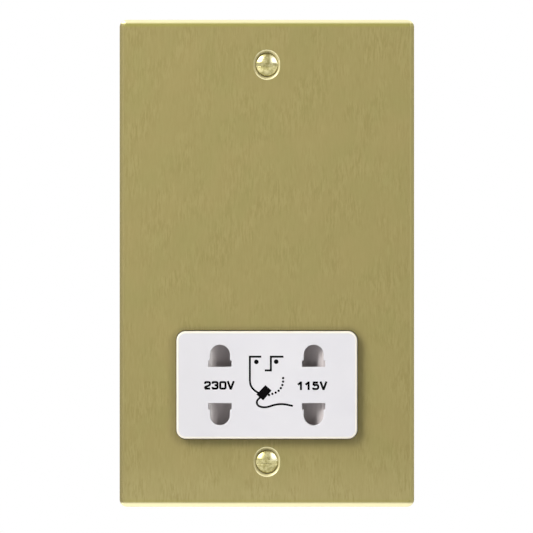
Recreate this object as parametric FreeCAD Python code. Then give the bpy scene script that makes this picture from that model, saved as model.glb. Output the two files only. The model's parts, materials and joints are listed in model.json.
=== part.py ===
import FreeCAD, Part
import math
import os

# Isolating shaver supply socket on a metal faceplate. Lengths in millimetres.
# The origin is the middle of the faceplate's back, which lies on the wall.
# X runs to the right, Y into the wall and Z up.

V = FreeCAD.Vector
ACROSS = V(1, 0, 0)
INWARD = V(0, 1, 0)
UP = V(0, 0, 1)

# Faceplate
PLATE_W = 89.5
PLATE_T = 2.0
PLATE_OVERHANG = 13.7
PLATE_CORNER_R = 2.2
BEVEL_IN = 1.2
BEVEL_DEEP = 0.8
BEVEL_SOFT_R = 1.2
SINK_R = 3.9
SINK_STRETCH = 1.1
STUD_R = 1.5
STUD_X = 16.0
STUD_OVERHANG = 4.4
STUD_TIP = 4.0
STUD_ROOT = 0.5

# Room between the fixing screws, from the lower one to the upper one
SCREW_ROOM_LOW = 5.4
STEP_ROOM = 5.1
LEAD_ROOM = 15.0
CORE_H = 45.0
CORE_TOP_ROOM = 9.0
SCREW_ROOM_HIGH = 8.3

# Fixing screws
SHANK_R = 1.75
SHANK_HOLE_CLEARANCE = 0.35
SCREW_HEAD_R = 3.4
SCREW_DOME_H = 1.15
SCREW_SEAT_CLEARANCE = 0.05
SCREW_REACH = 23.0
SCREW_POINT = 1.0
SLOT_W = 1.1
SLOT_DEEP = 1.0

# Pin openings
OUTLET_X = 14.2
PIN_FLAT_Z = 5.5
PIN_ROUND_R = 3.0
PIN_STEP = 0.5
PIN_STEP_H = 1.95
PIN_RISE = 3.7
PIN_CLEARANCE = 0.2

# Socket insert
INSERT_CORNER_R = 2.8
INSERT_PROUD = 2.0
INSERT_FACE_T = 1.4
INSERT_WALL = 1.8
INSERT_EDGE_R = 0.35
INSERT_GAP = 0.2
INSERT_SPARE_Z = 2.1
RAMP_SPARE = 1.0
FLANGE_T = 2.0
FLANGE_BEARING_X = 0.5
FLANGE_BEARING_Z = 1.9
FLANGE_CORNER_R = 1.5

# Shutter slide
TRAVEL = 6.7
SLIDE_CLEARANCE = 0.2
SHUTTER_T = 1.8
SHUTTER_EDGE_Z = 3.4
SHUTTER_END_WALL = 0.4
SHUTTER_CORNER_R = 1.0
WINDOW_W = 6.6
RAMP_LOW = 0.8
RAMP_LAND = 1.0
RAMP_STEEP_X = 2.0
RAMP_STEEP_Y = 3.0
SPRING_L = 12.2
SPRING_OD = 3.0
WIRE_D = 0.35
SPRING_TURNS = 6
SPRING_CLEARANCE = 0.05
SPRING_ROOM = 0.9
POST_CLEARANCE = 0.3
POST_T = 1.2
POST_HALF_H = 1.9

# Switch wiper, rail and pads
WIPER_W = 4.4
WIPER_H = 4.6
WIPER_T = 0.3
WIPER_RECESS = 0.5
WIPER_SIDE_WALL = 0.6
WIPER_BUMP_R = 0.7
WIPER_GAP = 0.05
TRACK_Z = 1.3
TRACK_W = 1.6
TRACK_T = 0.4
TRACK_END_GAP = 0.5
PAD_START_X = 3.5
TRACK_CLEARANCE = 0.1
TAIL_X = 5.3
TAIL_T = 0.5
TAIL_BACK = 9.5
TAIL_LEAD_BACK = 8.0
LINK_BACK = 3.0

# Chassis
CHASSIS_SKIRT = 0.1
CHASSIS_CORNER_R = 3.0
CHASSIS_RIM = 1.8
CORING_CORNER_R = 1.2
FLOOR_T = 1.8
FLANGE_CLEARANCE = 0.2
EAR_R = 4.5
EAR_HOLE_CLEARANCE = 0.2
LIP_H = 1.2
LIP_T = 1.2
LIP_CLEARANCE = 0.2
LIP_CORNER_R = 0.8
PILLAR_R = 3.0
PILLAR_INSET = 0.4

# Contacts and their pockets
POCKET_WALL = 1.4
POCKET_SPARE_X = 0.2
POCKET_NEAR = 0.9
POCKET_FAR = 1.2
POCKET_DEEP = 14.0
LEAF_T = 0.4
LEAF_SIDE_GAP = 0.3
LEAF_CLEARANCE = 0.1
LEAF_START = 2.0
LEAF_BEND_R = 1.7
LEAF_OUT = 4.2
LEAF_THROAT_BACK = 7.5
LEAF_THROAT_IN = 2.2
LEAF_THROAT_R = 1.0
LEAF_FLARE_FRONT = 3.4
LEAF_FLARE_OUT = 5.4
TAG_W = 2.4
TAG_L = 3.1
TAG_LEAD_END = 1.1
BAR_T = 0.5
BAR_H = 3.0
BAR_CLEARANCE = 0.2

# Transformer core
CORE_W = 54.0
CORE_SIDE_ROOM = 6.0
STACK_T = 17.0
LEG_MID = 18.0
LEG_SIDE = 9.0
CORE_HOLE_R = 1.7

# Bobbin and windings
TUBE_CLEARANCE = 0.15
TUBE_WALL = 1.0
TUBE_CORNER_R = 1.0
CHEEK_T = 1.0
CHEEK_END_GAP = 0.1
CHEEK_SIDE_GAP = 0.3
CHEEK_OVER = 0.3
CHEEK_FLOOR_GAP = 0.4
CHEEK_CORNER_R = 1.5
WINDING_BUILD = 5.6
WINDING_CORNER_R = 4.5
TAPE_T = 0.35
TAPE_MARGIN = 0.3
RAIL_GAP = 2.5
RAIL_T = 3.0
RAIL_H = 2.6
RAIL_HALF_L = 11.0
PIN_R = 0.45
PIN_PITCH = 8.0
PIN_STICKOUT = 2.6
PIN_BURIED = 1.8
PIN_FIT = 0.02
CUTOUT_W = 3.8
CUTOUT_D = 4.0
CUTOUT_H = 12.0
CUTOUT_GAP = 0.1
CUTOUT_DROP = 5.5
CUTOUT_R = 0.6

# Machine screws
M3_R = 1.5
PAN_HEAD_R = 2.8
PAN_HEAD_H = 2.2
PAN_SOFT_R = 0.8
CROSS_W = 0.8
CROSS_L = 3.2
CROSS_DEEP = 1.2
THREAD_CLEARANCE = 0.05
CORE_SCREW_L = 23.0
COVER_SCREW_L = 9.0
PILOT_SPARE = 0.5
NUT_AF = 5.5
NUT_H = 2.4
WASHER_R = 3.5
WASHER_T = 0.6

# Rear cover
COVER_WALL = 2.0
COVER_TAG_GAP = 1.6
COVER_CHEEK_GAP = 0.8
COVER_EDGE_R = 1.5
BOSS_R = 4.0
BOSS_FLOOR = 2.0
UPPER_BOSS_H = 10.0
LOWER_BOSS_H = 13.0
HEAD_ROOM = 0.4
VENT_W = 2.0
VENT_PITCH = 6.0
VENT_COUNT = 8
VENT_BELOW = 16.5
VENT_ABOVE = 9.5
SIDE_VENT_COUNT = 6
SIDE_VENT_PITCH = 5.0
SIDE_VENT_INSET = 12.0
SIDE_VENT_L = 15.0

# Terminals
LINE_X = -24.0
NEUTRAL_X = -8.0
TERMINAL_W = 8.0
TERMINAL_D = 8.0
TERMINAL_L = 9.0
TERMINAL_ROOM = 0.6
WIRE_BORE_R = 1.9
WIRE_BORE_Y = 3.2
TERMINAL_SCREW_R = 1.5
TERMINAL_HEAD_R = 2.75
TERMINAL_HEAD_H = 2.2
TERMINAL_HEAD_LIFT = 0.6
TERMINAL_TIP_GAP = 0.2
STALL_WALL = 1.5
STALL_SHORT = 2.0
STALL_SPARE_Z = 1.0
STALL_TOP_GAP = 3.9
NOTCH_R = 2.6

# Links and earth strap
LINK_T = 0.6
LINK_W = 4.0
LINK_DROP_Z = 3.5
LINK_L = 9.5
LINK_LEAD_UP = 2.5
LINK_BEND_R = 0.9
LINK_SLOT_CLEARANCE = 0.2
STRAP_W = 5.0
STRAP_BEND_R = 1.2
STRAP_EDGE_BEND_R = 1.9
STRAP_GAP = 0.1

# Insulated leads
LEAD_R = 0.8
LEAD_BEND_R = 2.5
LEAD_OUTER_X = 24.0
LEAD_OUTER_BACK = 14.0
LEAD_FALL = 7.5
LEAD_RISE = 3.0
LEAD_UNDER_CORE = 4.0
LEAD_LOOP = 4.4

# Places that follow from the sizes above
PLATE_FRONT_Y = -PLATE_T
PIN_WIDE = 2 * (PIN_ROUND_R + PIN_STEP)
PIN_SHOULDER_Z = PIN_FLAT_Z + PIN_STEP_H
PIN_ROUND_Z = PIN_FLAT_Z + PIN_RISE
PIN_TIP_Z = PIN_ROUND_Z + PIN_ROUND_R
RAMP_END_X = OUTLET_X + PIN_WIDE / 2 + PIN_CLEARANCE
INSERT_W = 2 * (RAMP_END_X + TRAVEL + RAMP_SPARE + INSERT_WALL)
INSERT_H = 2 * (PIN_TIP_Z + PIN_CLEARANCE + INSERT_SPARE_Z + INSERT_WALL)
INSERT_FRONT_Y = PLATE_FRONT_Y - INSERT_PROUD
INSERT_INNER_Y = INSERT_FRONT_Y + INSERT_FACE_T
WINDOW_X = OUTLET_X - TRAVEL
WINDOW_NEAR_X = WINDOW_X - WINDOW_W / 2
WINDOW_FAR_X = WINDOW_X + WINDOW_W / 2
SPRING_WINDOW_X = WIPER_W / 2 + WIPER_SIDE_WALL
POST_X = SPRING_WINDOW_X + TRAVEL + POST_CLEARANCE
POST_OUT_X = POST_X + POST_T
SPRING_SEAT_X = POST_OUT_X + SPRING_L
SHUTTER_FRONT_Y = FLANGE_T + SLIDE_CLEARANCE
SHUTTER_BACK_Y = SHUTTER_FRONT_Y + SHUTTER_T
SHUTTER_HALF_L = SPRING_SEAT_X + SHUTTER_END_WALL
SHUTTER_HALF_H = PIN_TIP_Z + PIN_CLEARANCE + SHUTTER_EDGE_Z
RAMP_TOP_Y = INSERT_INNER_Y + SLIDE_CLEARANCE
FLOOR_Y = SHUTTER_BACK_Y + SLIDE_CLEARANCE
BASE_Y = FLOOR_Y + FLOOR_T
TRAY_HALF_W = SHUTTER_HALF_L + TRAVEL + SLIDE_CLEARANCE
TRAY_HALF_H = SHUTTER_HALF_H + SLIDE_CLEARANCE
FLANGE_HALF_W = TRAY_HALF_W + FLANGE_BEARING_X
FLANGE_HALF_H = TRAY_HALF_H + FLANGE_BEARING_Z
SPRING_Y = FLOOR_Y - SPRING_CLEARANCE - SPRING_OD / 2
SPRING_WINDOW_HALF_H = SPRING_OD / 2 + SPRING_ROOM
WIPER_BACK_Y = SHUTTER_BACK_Y - WIPER_RECESS + WIPER_T
TRACK_END_X = POST_X - TRACK_END_GAP
TAIL_TIP_Y = BASE_Y + TAIL_BACK
POCKET_START_Z = PIN_FLAT_Z - POCKET_NEAR
POCKET_END_Z = PIN_TIP_Z + POCKET_FAR
POCKET_HALF_W = PIN_WIDE / 2 + PIN_CLEARANCE + POCKET_SPARE_X
POCKET_BACK_Y = BASE_Y + POCKET_DEEP
STEP_RISE = POCKET_END_Z + POCKET_WALL + STEP_ROOM
INSERT_RISE = SCREW_ROOM_LOW + CHASSIS_SKIRT + FLANGE_HALF_H
FIXING_PITCH = INSERT_RISE + STEP_RISE + LEAD_ROOM + CORE_H + CORE_TOP_ROOM + SCREW_ROOM_HIGH
FIXING_Z = FIXING_PITCH / 2
PLATE_H = FIXING_PITCH + 2 * PLATE_OVERHANG
INSERT_Z = INSERT_RISE - FIXING_Z
COVER_STEP_Z = INSERT_Z + STEP_RISE
CORE_LOW_Z = COVER_STEP_Z + LEAD_ROOM
CORE_Z = CORE_LOW_Z + CORE_H / 2
CHASSIS_LOW_Z = SCREW_ROOM_LOW - FIXING_Z
CHASSIS_TOP_Z = FIXING_Z - SCREW_ROOM_HIGH
CHASSIS_HALF_W = max(FLANGE_HALF_W + FLANGE_CLEARANCE + CHASSIS_RIM, CORE_W / 2 + CORE_SIDE_ROOM)
STUD_LOW_Z = CHASSIS_LOW_Z - STUD_OVERHANG
STUD_HIGH_Z = CHASSIS_TOP_Z + STUD_OVERHANG
STUD_END_Y = BASE_Y + STUD_TIP
LEAF_W = 2 * (POCKET_HALF_W - LEAF_SIDE_GAP)
LEAF_INNER_Z = POCKET_START_Z + LEAF_CLEARANCE + LEAF_T / 2
LEAF_BACK_Y = POCKET_BACK_Y + LEAF_CLEARANCE + LEAF_T / 2
BAR_HALF_L = OUTLET_X + LEAF_W / 2
TAG_Z = LEAF_INNER_Z + LEAF_BEND_R
TAG_TIP_Y = LEAF_BACK_Y + TAG_L
TAG_LEAD_Y = TAG_TIP_Y - TAG_LEAD_END
CORE_HALF_W = CORE_W / 2
CORE_HALF_H = CORE_H / 2
WINDOW_HALF_H = CORE_HALF_H - LEG_SIDE
CORE_HOLE_X = CORE_HALF_W - LEG_SIDE / 2
CORE_HOLE_Z = CORE_HALF_H - LEG_SIDE / 2
TUBE_HALF_X = LEG_MID / 2 + TUBE_CLEARANCE + TUBE_WALL
TUBE_HALF_Y = STACK_T / 2 + TUBE_CLEARANCE + TUBE_WALL
CHEEK_HALF_W = CORE_HALF_W - LEG_SIDE - CHEEK_SIDE_GAP
CHEEK_HALF_D = TUBE_HALF_Y + WINDING_BUILD + TAPE_T + CHEEK_OVER
CHEEK_OUT_Z = WINDOW_HALF_H - CHEEK_END_GAP
CHEEK_IN_Z = CHEEK_OUT_Z - CHEEK_T
CORE_Y = BASE_Y + CHEEK_FLOOR_GAP + CHEEK_HALF_D
CORE_FRONT_Y = CORE_Y - STACK_T / 2
CORE_BACK_Y = CORE_Y + STACK_T / 2
RAIL_BACK = STACK_T / 2 + RAIL_GAP
RAIL_MID_Y = RAIL_BACK + RAIL_T / 2
RAIL_TOP_Z = CHEEK_OUT_Z + RAIL_H
PIN_TIP = RAIL_TOP_Z + PIN_STICKOUT
PRIMARY_PIN_Y = CORE_Y + RAIL_MID_Y
SECONDARY_PIN_Y = CORE_Y - RAIL_MID_Y
PRIMARY_TIP_Z = CORE_Z + PIN_TIP
SECONDARY_TIP_Z = CORE_Z - PIN_TIP
CUTOUT_X = CHEEK_HALF_W + CUTOUT_GAP + CUTOUT_W / 2
CUTOUT_LOW_Z = CORE_Z - CUTOUT_DROP
COVER_SHALLOW = TAG_TIP_Y + COVER_TAG_GAP + COVER_WALL
COVER_DEEP = CORE_Y + CHEEK_HALF_D + COVER_CHEEK_GAP + COVER_WALL
PILLAR_X = CHASSIS_HALF_W - COVER_WALL - PILLAR_R - PILLAR_INSET
PILLAR_HIGH_Z = CHASSIS_TOP_Z - COVER_WALL - PILLAR_R - PILLAR_INSET
PILLAR_LOW_Z = CHASSIS_LOW_Z + COVER_WALL + PILLAR_R + PILLAR_INSET
UPPER_PILLAR_TOP = COVER_DEEP - UPPER_BOSS_H
LOWER_PILLAR_TOP = COVER_SHALLOW - LOWER_BOSS_H
PILLARS = [
    (-PILLAR_X, PILLAR_HIGH_Z, UPPER_PILLAR_TOP, COVER_DEEP),
    (PILLAR_X, PILLAR_HIGH_Z, UPPER_PILLAR_TOP, COVER_DEEP),
    (-PILLAR_X, PILLAR_LOW_Z, LOWER_PILLAR_TOP, COVER_SHALLOW),
    (PILLAR_X, PILLAR_LOW_Z, LOWER_PILLAR_TOP, COVER_SHALLOW),
]
CORE_CORNERS = [
    (-CORE_HOLE_X, CORE_Z + CORE_HOLE_Z),
    (CORE_HOLE_X, CORE_Z + CORE_HOLE_Z),
    (-CORE_HOLE_X, CORE_Z - CORE_HOLE_Z),
    (CORE_HOLE_X, CORE_Z - CORE_HOLE_Z),
]
STUDS = [
    (-STUD_X, STUD_LOW_Z),
    (-STUD_X, STUD_HIGH_Z),
    (STUD_X, STUD_HIGH_Z),
    (STUD_X, STUD_LOW_Z),
]
TERMINAL_XS = {"line": LINE_X, "neutral": NEUTRAL_X, "earth": STUD_X}
TERMINAL_FRONT_Y = COVER_SHALLOW + LINK_T
TERMINAL_BACK_Y = TERMINAL_FRONT_Y + TERMINAL_D
TERMINAL_TOP_Z = COVER_STEP_Z - STALL_WALL - STALL_TOP_GAP
TERMINAL_LOW_Z = TERMINAL_TOP_Z - TERMINAL_L
TERMINAL_MID_Z = (TERMINAL_TOP_Z + TERMINAL_LOW_Z) / 2
BORE_Y = TERMINAL_FRONT_Y + WIRE_BORE_Y
STALL_HALF_W = TERMINAL_W / 2 + TERMINAL_ROOM
STALL_LOW_Z = TERMINAL_LOW_Z - STALL_SPARE_Z
STALL_BACK = COVER_DEEP - STALL_SHORT
LINK_Z = COVER_STEP_Z - LINK_DROP_Z
LINK_MID_Y = COVER_SHALLOW + LINK_T / 2
LINK_FRONT_Y = COVER_SHALLOW - LINK_L


def block(x0, x1, y0, y1, z0, z1):
    return Part.makeBox(x1 - x0, y1 - y0, z1 - z0, V(x0, y0, z0))


def rounded(solid, direction, radius):
    """Rounds the straight edges that run along one direction."""
    edges = []
    for edge in solid.Edges:
        if isinstance(edge.Curve, Part.Line) and abs(edge.Curve.Direction.dot(direction)) > 0.999:
            edges.append(edge)
    return solid.makeFillet(radius, edges)


def slab(half_w, y0, y1, z0, z1, radius):
    """A centred plate facing the wall, with rounded corners."""
    return rounded(block(-half_w, half_w, y0, y1, z0, z1), INWARD, radius)


def edges_at_depth(solid, y):
    found = []
    for edge in solid.Edges:
        box = edge.BoundBox
        if abs(box.YMin - y) < 1e-4 and abs(box.YMax - y) < 1e-4:
            found.append(edge)
    return found


def rod(radius, y0, y1, x, z):
    """A cylinder along Y."""
    return Part.makeCylinder(radius, y1 - y0, V(x, y0, z), INWARD)


def fused(pieces):
    return pieces[0].multiFuse(pieces[1:]).removeSplitter()


def bent_path(points, bends):
    """Straight runs between points, joined by tangent arcs."""
    corners = [V(*point) for point in points]
    edges = []
    start = corners[0]
    for before, corner, after, radius in zip(corners, corners[1:], corners[2:], bends):
        back = (before - corner).normalize()
        ahead = (after - corner).normalize()
        half = back.getAngle(ahead) / 2
        trim = radius / math.tan(half)
        first = corner + back * trim
        last = corner + ahead * trim
        centre = corner + (back + ahead).normalize() * (radius / math.sin(half))
        middle = centre + (corner - centre).normalize() * radius
        if (first - start).Length > 1e-5:
            edges.append(Part.makeLine(start, first))
        edges.append(Part.Arc(first, middle, last).toShape())
        start = last
    edges.append(Part.makeLine(start, corners[-1]))
    return Part.Wire(edges)


def lead(points):
    """A round insulated lead along a path."""
    bends = [LEAD_BEND_R] * (len(points) - 2)
    heading = V(*points[1]) - V(*points[0])
    ring = Part.Wire(Part.makeCircle(LEAD_R, V(*points[0]), heading))
    return bent_path(points, bends).makePipeShell([ring], True, False)


def strip(points, bends, thickness, width):
    """A flat strip, its width along X, bent along a path."""
    start = V(*points[0])
    heading = (V(*points[1]) - start).normalize()
    side = ACROSS * (width / 2)
    rise = heading.cross(ACROSS) * (thickness / 2)
    corners = [start + side + rise, start - side + rise, start - side - rise, start + side - rise]
    section = Part.makePolygon(corners + [corners[0]])
    return bent_path(points, bends).makePipeShell([section], True, False)


def pin_opening(x, side, grow, y0, y1):
    """One D-shaped pin opening, flat towards the outlet's middle."""
    z_flat = INSERT_Z + side * (PIN_FLAT_Z - grow)
    z_shoulder = INSERT_Z + side * (PIN_SHOULDER_Z + grow)
    z_round = INSERT_Z + side * PIN_ROUND_Z
    wide = PIN_WIDE / 2 + grow
    radius = PIN_ROUND_R + grow
    foot = block(x - wide, x + wide, y0, y1, min(z_flat, z_shoulder), max(z_flat, z_shoulder))
    body = block(x - radius, x + radius, y0, y1, min(z_flat, z_round), max(z_flat, z_round))
    return fused([foot, body, rod(radius, y0, y1, x, z_round)])


def countersink(z):
    """An oblong countersunk hole through the faceplate."""
    half = SINK_STRETCH / 2
    hole_r = SHANK_R + SHANK_HOLE_CLEARANCE
    over = 0.5
    deep = SINK_R - hole_r
    front = PLATE_FRONT_Y - over
    wide = SINK_R + over
    pieces = []
    for end in (z - half, z + half):
        pieces.append(Part.makeCone(wide, hole_r, deep + over, V(0, front, end), INWARD))
        pieces.append(rod(hole_r, front, over, 0, end))
    back = front + deep + over
    outline = [(-wide, front), (wide, front), (hole_r, back), (-hole_r, back)]
    corners = [V(x, y, z - half) for x, y in outline]
    face = Part.Face(Part.makePolygon(corners + [corners[0]]))
    pieces.append(face.extrude(UP * SINK_STRETCH))
    pieces.append(block(-hole_r, hole_r, front, over, z - half, z + half))
    return fused(pieces)


def faceplate():
    half_w = PLATE_W / 2
    half_h = PLATE_H / 2
    shoulder_y = PLATE_FRONT_Y + BEVEL_DEEP
    sheet = slab(half_w, shoulder_y, 0, -half_h, half_h, PLATE_CORNER_R)
    lower = slab(half_w, shoulder_y, shoulder_y + 1, -half_h, half_h, PLATE_CORNER_R)
    inner_r = PLATE_CORNER_R - BEVEL_IN
    top_z = half_h - BEVEL_IN
    upper = slab(half_w - BEVEL_IN, PLATE_FRONT_Y, PLATE_FRONT_Y + 1, -top_z, top_z, inner_r)
    outer_wire = Part.Wire(Part.__sortEdges__(edges_at_depth(lower, shoulder_y)))
    inner_wire = Part.Wire(Part.__sortEdges__(edges_at_depth(upper, PLATE_FRONT_Y)))
    bevel = Part.makeLoft([outer_wire, inner_wire], True, True)
    plate = fused([sheet, bevel])
    plate = plate.makeFillet(BEVEL_SOFT_R, edges_at_depth(plate, PLATE_FRONT_Y))
    gap = INSERT_GAP
    half_h = INSERT_H / 2 + gap
    window = slab(
        INSERT_W / 2 + gap,
        PLATE_FRONT_Y - 1,
        1,
        INSERT_Z - half_h,
        INSERT_Z + half_h,
        INSERT_CORNER_R + gap,
    )
    plate = plate.cut([window, countersink(-FIXING_Z), countersink(FIXING_Z)])
    studs = [rod(STUD_R, -STUD_ROOT, STUD_END_Y, x, z) for x, z in STUDS]
    return fused([plate] + studs)


def fixing_screw(z):
    rim_y = PLATE_FRONT_Y + SINK_R - SCREW_HEAD_R - SCREW_SEAT_CLEARANCE
    top_y = rim_y - SCREW_DOME_H
    neck_y = rim_y + SCREW_HEAD_R - SHANK_R
    sphere_r = (SCREW_HEAD_R ** 2 + SCREW_DOME_H ** 2) / (2 * SCREW_DOME_H)
    half_angle = math.asin(SCREW_HEAD_R / sphere_r) / 2
    middle = V(sphere_r * math.sin(half_angle), top_y + sphere_r * (1 - math.cos(half_angle)), z)
    dome = Part.Arc(V(0, top_y, z), middle, V(SCREW_HEAD_R, rim_y, z)).toShape()
    point_r = SHANK_R - SCREW_POINT / 2
    outline = [
        V(SCREW_HEAD_R, rim_y, z),
        V(SHANK_R, neck_y, z),
        V(SHANK_R, SCREW_REACH - SCREW_POINT, z),
        V(point_r, SCREW_REACH, z),
        V(0, SCREW_REACH, z),
        V(0, top_y, z),
    ]
    edges = [dome]
    for start, end in zip(outline, outline[1:]):
        edges.append(Part.makeLine(start, end))
    body = Part.Face(Part.Wire(edges)).revolve(V(0, 0, z), INWARD, 360)
    half = SLOT_W / 2
    slot = block(-SINK_R, SINK_R, top_y - 1, top_y + SLOT_DEEP, z - half, z + half)
    return body.cut(slot)


def socket_insert():
    half_w = INSERT_W / 2
    half_h = INSERT_H / 2
    body = slab(half_w, INSERT_FRONT_Y, FLANGE_T, INSERT_Z - half_h, INSERT_Z + half_h, INSERT_CORNER_R)
    body = body.makeFillet(INSERT_EDGE_R, edges_at_depth(body, INSERT_FRONT_Y))
    low = INSERT_Z - FLANGE_HALF_H
    high = INSERT_Z + FLANGE_HALF_H
    flange = slab(FLANGE_HALF_W, 0, FLANGE_T, low, high, FLANGE_CORNER_R)
    inner_h = half_h - INSERT_WALL
    cavity = slab(
        half_w - INSERT_WALL,
        INSERT_INNER_Y,
        FLANGE_T + 1,
        INSERT_Z - inner_h,
        INSERT_Z + inner_h,
        INSERT_CORNER_R - INSERT_WALL,
    )
    openings = []
    for x in (-OUTLET_X, OUTLET_X):
        for side in (-1, 1):
            openings.append(pin_opening(x, side, 0, INSERT_FRONT_Y - 1, INSERT_INNER_Y + 1))
    return fused([body, flange]).cut([cavity] + openings)


def shutter():
    low = INSERT_Z - SHUTTER_HALF_H
    high = INSERT_Z + SHUTTER_HALF_H
    plate = slab(SHUTTER_HALF_L, SHUTTER_FRONT_Y, SHUTTER_BACK_Y, low, high, SHUTTER_CORNER_R)
    near_z = PIN_FLAT_Z - PIN_CLEARANCE
    far_z = PIN_TIP_Z + PIN_CLEARANCE
    cutters = []
    ramps = []
    for side in (-1, 1):
        for level in (-1, 1):
            z0 = INSERT_Z + min(level * near_z, level * far_z)
            z1 = INSERT_Z + max(level * near_z, level * far_z)
            x0 = min(side * WINDOW_NEAR_X, side * WINDOW_FAR_X)
            x1 = max(side * WINDOW_NEAR_X, side * WINDOW_FAR_X)
            cutters.append(block(x0, x1, SHUTTER_FRONT_Y - 1, SHUTTER_BACK_Y + 1, z0, z1))
            ramps.append(ramp(side, z0, z1))
        x0 = min(side * SPRING_WINDOW_X, side * SPRING_SEAT_X)
        x1 = max(side * SPRING_WINDOW_X, side * SPRING_SEAT_X)
        z0 = INSERT_Z - SPRING_WINDOW_HALF_H
        z1 = INSERT_Z + SPRING_WINDOW_HALF_H
        cutters.append(block(x0, x1, SHUTTER_FRONT_Y - 1, SHUTTER_BACK_Y + 1, z0, z1))
    room = WIPER_GAP
    cutters.append(
        block(
            -WIPER_W / 2 - room,
            WIPER_W / 2 + room,
            SHUTTER_BACK_Y - WIPER_RECESS,
            SHUTTER_BACK_Y + 1,
            INSERT_Z - WIPER_H / 2 - room,
            INSERT_Z + WIPER_H / 2 + room,
        )
    )
    return fused([plate.cut(cutters)] + ramps)


def ramp(side, z0, z1):
    """A wedge that a pin pushes sideways, steep and high on the outer side."""
    land_x = RAMP_END_X - RAMP_LAND
    outline = [
        (WINDOW_FAR_X, SHUTTER_FRONT_Y + RAMP_LOW),
        (land_x - RAMP_STEEP_X, RAMP_TOP_Y + RAMP_STEEP_Y),
        (land_x, RAMP_TOP_Y),
        (RAMP_END_X, RAMP_TOP_Y),
        (RAMP_END_X, SHUTTER_BACK_Y),
        (WINDOW_FAR_X, SHUTTER_BACK_Y),
    ]
    corners = [V(side * x, y, z0) for x, y in outline]
    face = Part.Face(Part.makePolygon(corners + [corners[0]]))
    return face.extrude(UP * (z1 - z0))


def switch_wiper():
    half_w = WIPER_W / 2
    half_h = WIPER_H / 2
    seat_y = SHUTTER_BACK_Y - WIPER_RECESS
    leaf = block(-half_w, half_w, seat_y, WIPER_BACK_Y, INSERT_Z - half_h, INSERT_Z + half_h)
    bumps = []
    for side in (-1, 1):
        centre = V(0, FLOOR_Y - WIPER_GAP - WIPER_BUMP_R, INSERT_Z + side * TRACK_Z)
        ball = Part.makeSphere(WIPER_BUMP_R, centre)
        reach = WIPER_BUMP_R + 1
        keep = block(-reach, reach, seat_y, FLOOR_Y, centre.z - reach, centre.z + reach)
        bumps.append(ball.common(keep))
    return fused([leaf] + bumps)


def spring(side):
    """A centring spring between the fixed post and the shutter's end wall."""
    length = SPRING_SEAT_X - POST_OUT_X - WIRE_D
    coil_r = (SPRING_OD - WIRE_D) / 2
    path = Part.makeHelix(length / SPRING_TURNS, length, coil_r)
    climb = length / SPRING_TURNS / (2 * math.pi)
    ring = Part.Wire(Part.makeCircle(WIRE_D / 2, V(coil_r, 0, 0), V(0, coil_r, climb)))
    coil = Part.Wire(path.Edges).makePipeShell([ring], True, True)
    coil.rotate(V(0, 0, 0), V(0, 1, 0), 90 * side)
    coil.translate(V(side * (POST_OUT_X + WIRE_D / 2), SPRING_Y, INSERT_Z))
    return coil


def chassis():
    outer = slab(CHASSIS_HALF_W, 0, BASE_Y, CHASSIS_LOW_Z, CHASSIS_TOP_Z, CHASSIS_CORNER_R)
    flange_high = INSERT_Z + FLANGE_HALF_H + FLANGE_CLEARANCE
    coring_low = flange_high + CHASSIS_RIM
    seat_w = FLANGE_HALF_W + FLANGE_CLEARANCE
    inner_w = CHASSIS_HALF_W - CHASSIS_RIM
    hollows = [
        block(-seat_w, seat_w, -1, FLANGE_T, CHASSIS_LOW_Z - 1, flange_high),
        block(-TRAY_HALF_W, TRAY_HALF_W, 0, FLOOR_Y, INSERT_Z - TRAY_HALF_H, INSERT_Z + TRAY_HALF_H),
        slab(inner_w, -1, FLOOR_Y, coring_low, CHASSIS_TOP_Z - CHASSIS_RIM, CORING_CORNER_R),
    ]
    body = outer.cut(hollows)
    body = fused([body] + ears() + pockets() + posts() + pillars() + [locating_lip()])
    return body.cut(chassis_cutters())


def ears():
    pieces = []
    for x, z in STUDS:
        x0 = x - EAR_R
        x1 = x + EAR_R
        pieces.append(rod(EAR_R, 0, BASE_Y, x, z))
        if z > 0:
            pieces.append(block(x0, x1, 0, BASE_Y, CHASSIS_TOP_Z - CHASSIS_RIM, z))
        else:
            pieces.append(block(x0, x1, 0, BASE_Y, z, CHASSIS_LOW_Z))
            pieces.append(block(x0, x1, FLANGE_T, BASE_Y, z, CHASSIS_LOW_Z + CHASSIS_RIM))
    return pieces


def pockets():
    """Four boxes behind the floor that hold the contacts."""
    pieces = []
    half_w = POCKET_HALF_W + POCKET_WALL
    for x in (-OUTLET_X, OUTLET_X):
        for side in (-1, 1):
            near = INSERT_Z + side * (POCKET_START_Z - POCKET_WALL)
            far = INSERT_Z + side * (POCKET_END_Z + POCKET_WALL)
            z0 = min(near, far)
            z1 = max(near, far)
            pieces.append(block(x - half_w, x + half_w, FLOOR_Y, POCKET_BACK_Y, z0, z1))
    return pieces


def posts():
    """Two fixed stops that the centring springs press on."""
    pieces = []
    for side in (-1, 1):
        x0 = min(side * POST_X, side * POST_OUT_X)
        front = SPRING_Y - SPRING_OD / 2 + SPRING_CLEARANCE
        z0 = INSERT_Z - POST_HALF_H
        z1 = INSERT_Z + POST_HALF_H
        pieces.append(block(x0, x0 + POST_T, front, BASE_Y, z0, z1))
    return pieces


def pillars():
    pieces = []
    for x, z in CORE_CORNERS:
        pieces.append(rod(PILLAR_R, FLOOR_Y, CORE_FRONT_Y, x, z))
    for x, z, top, cover_back in PILLARS:
        pieces.append(rod(PILLAR_R, FLOOR_Y, top, x, z))
    return pieces


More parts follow.
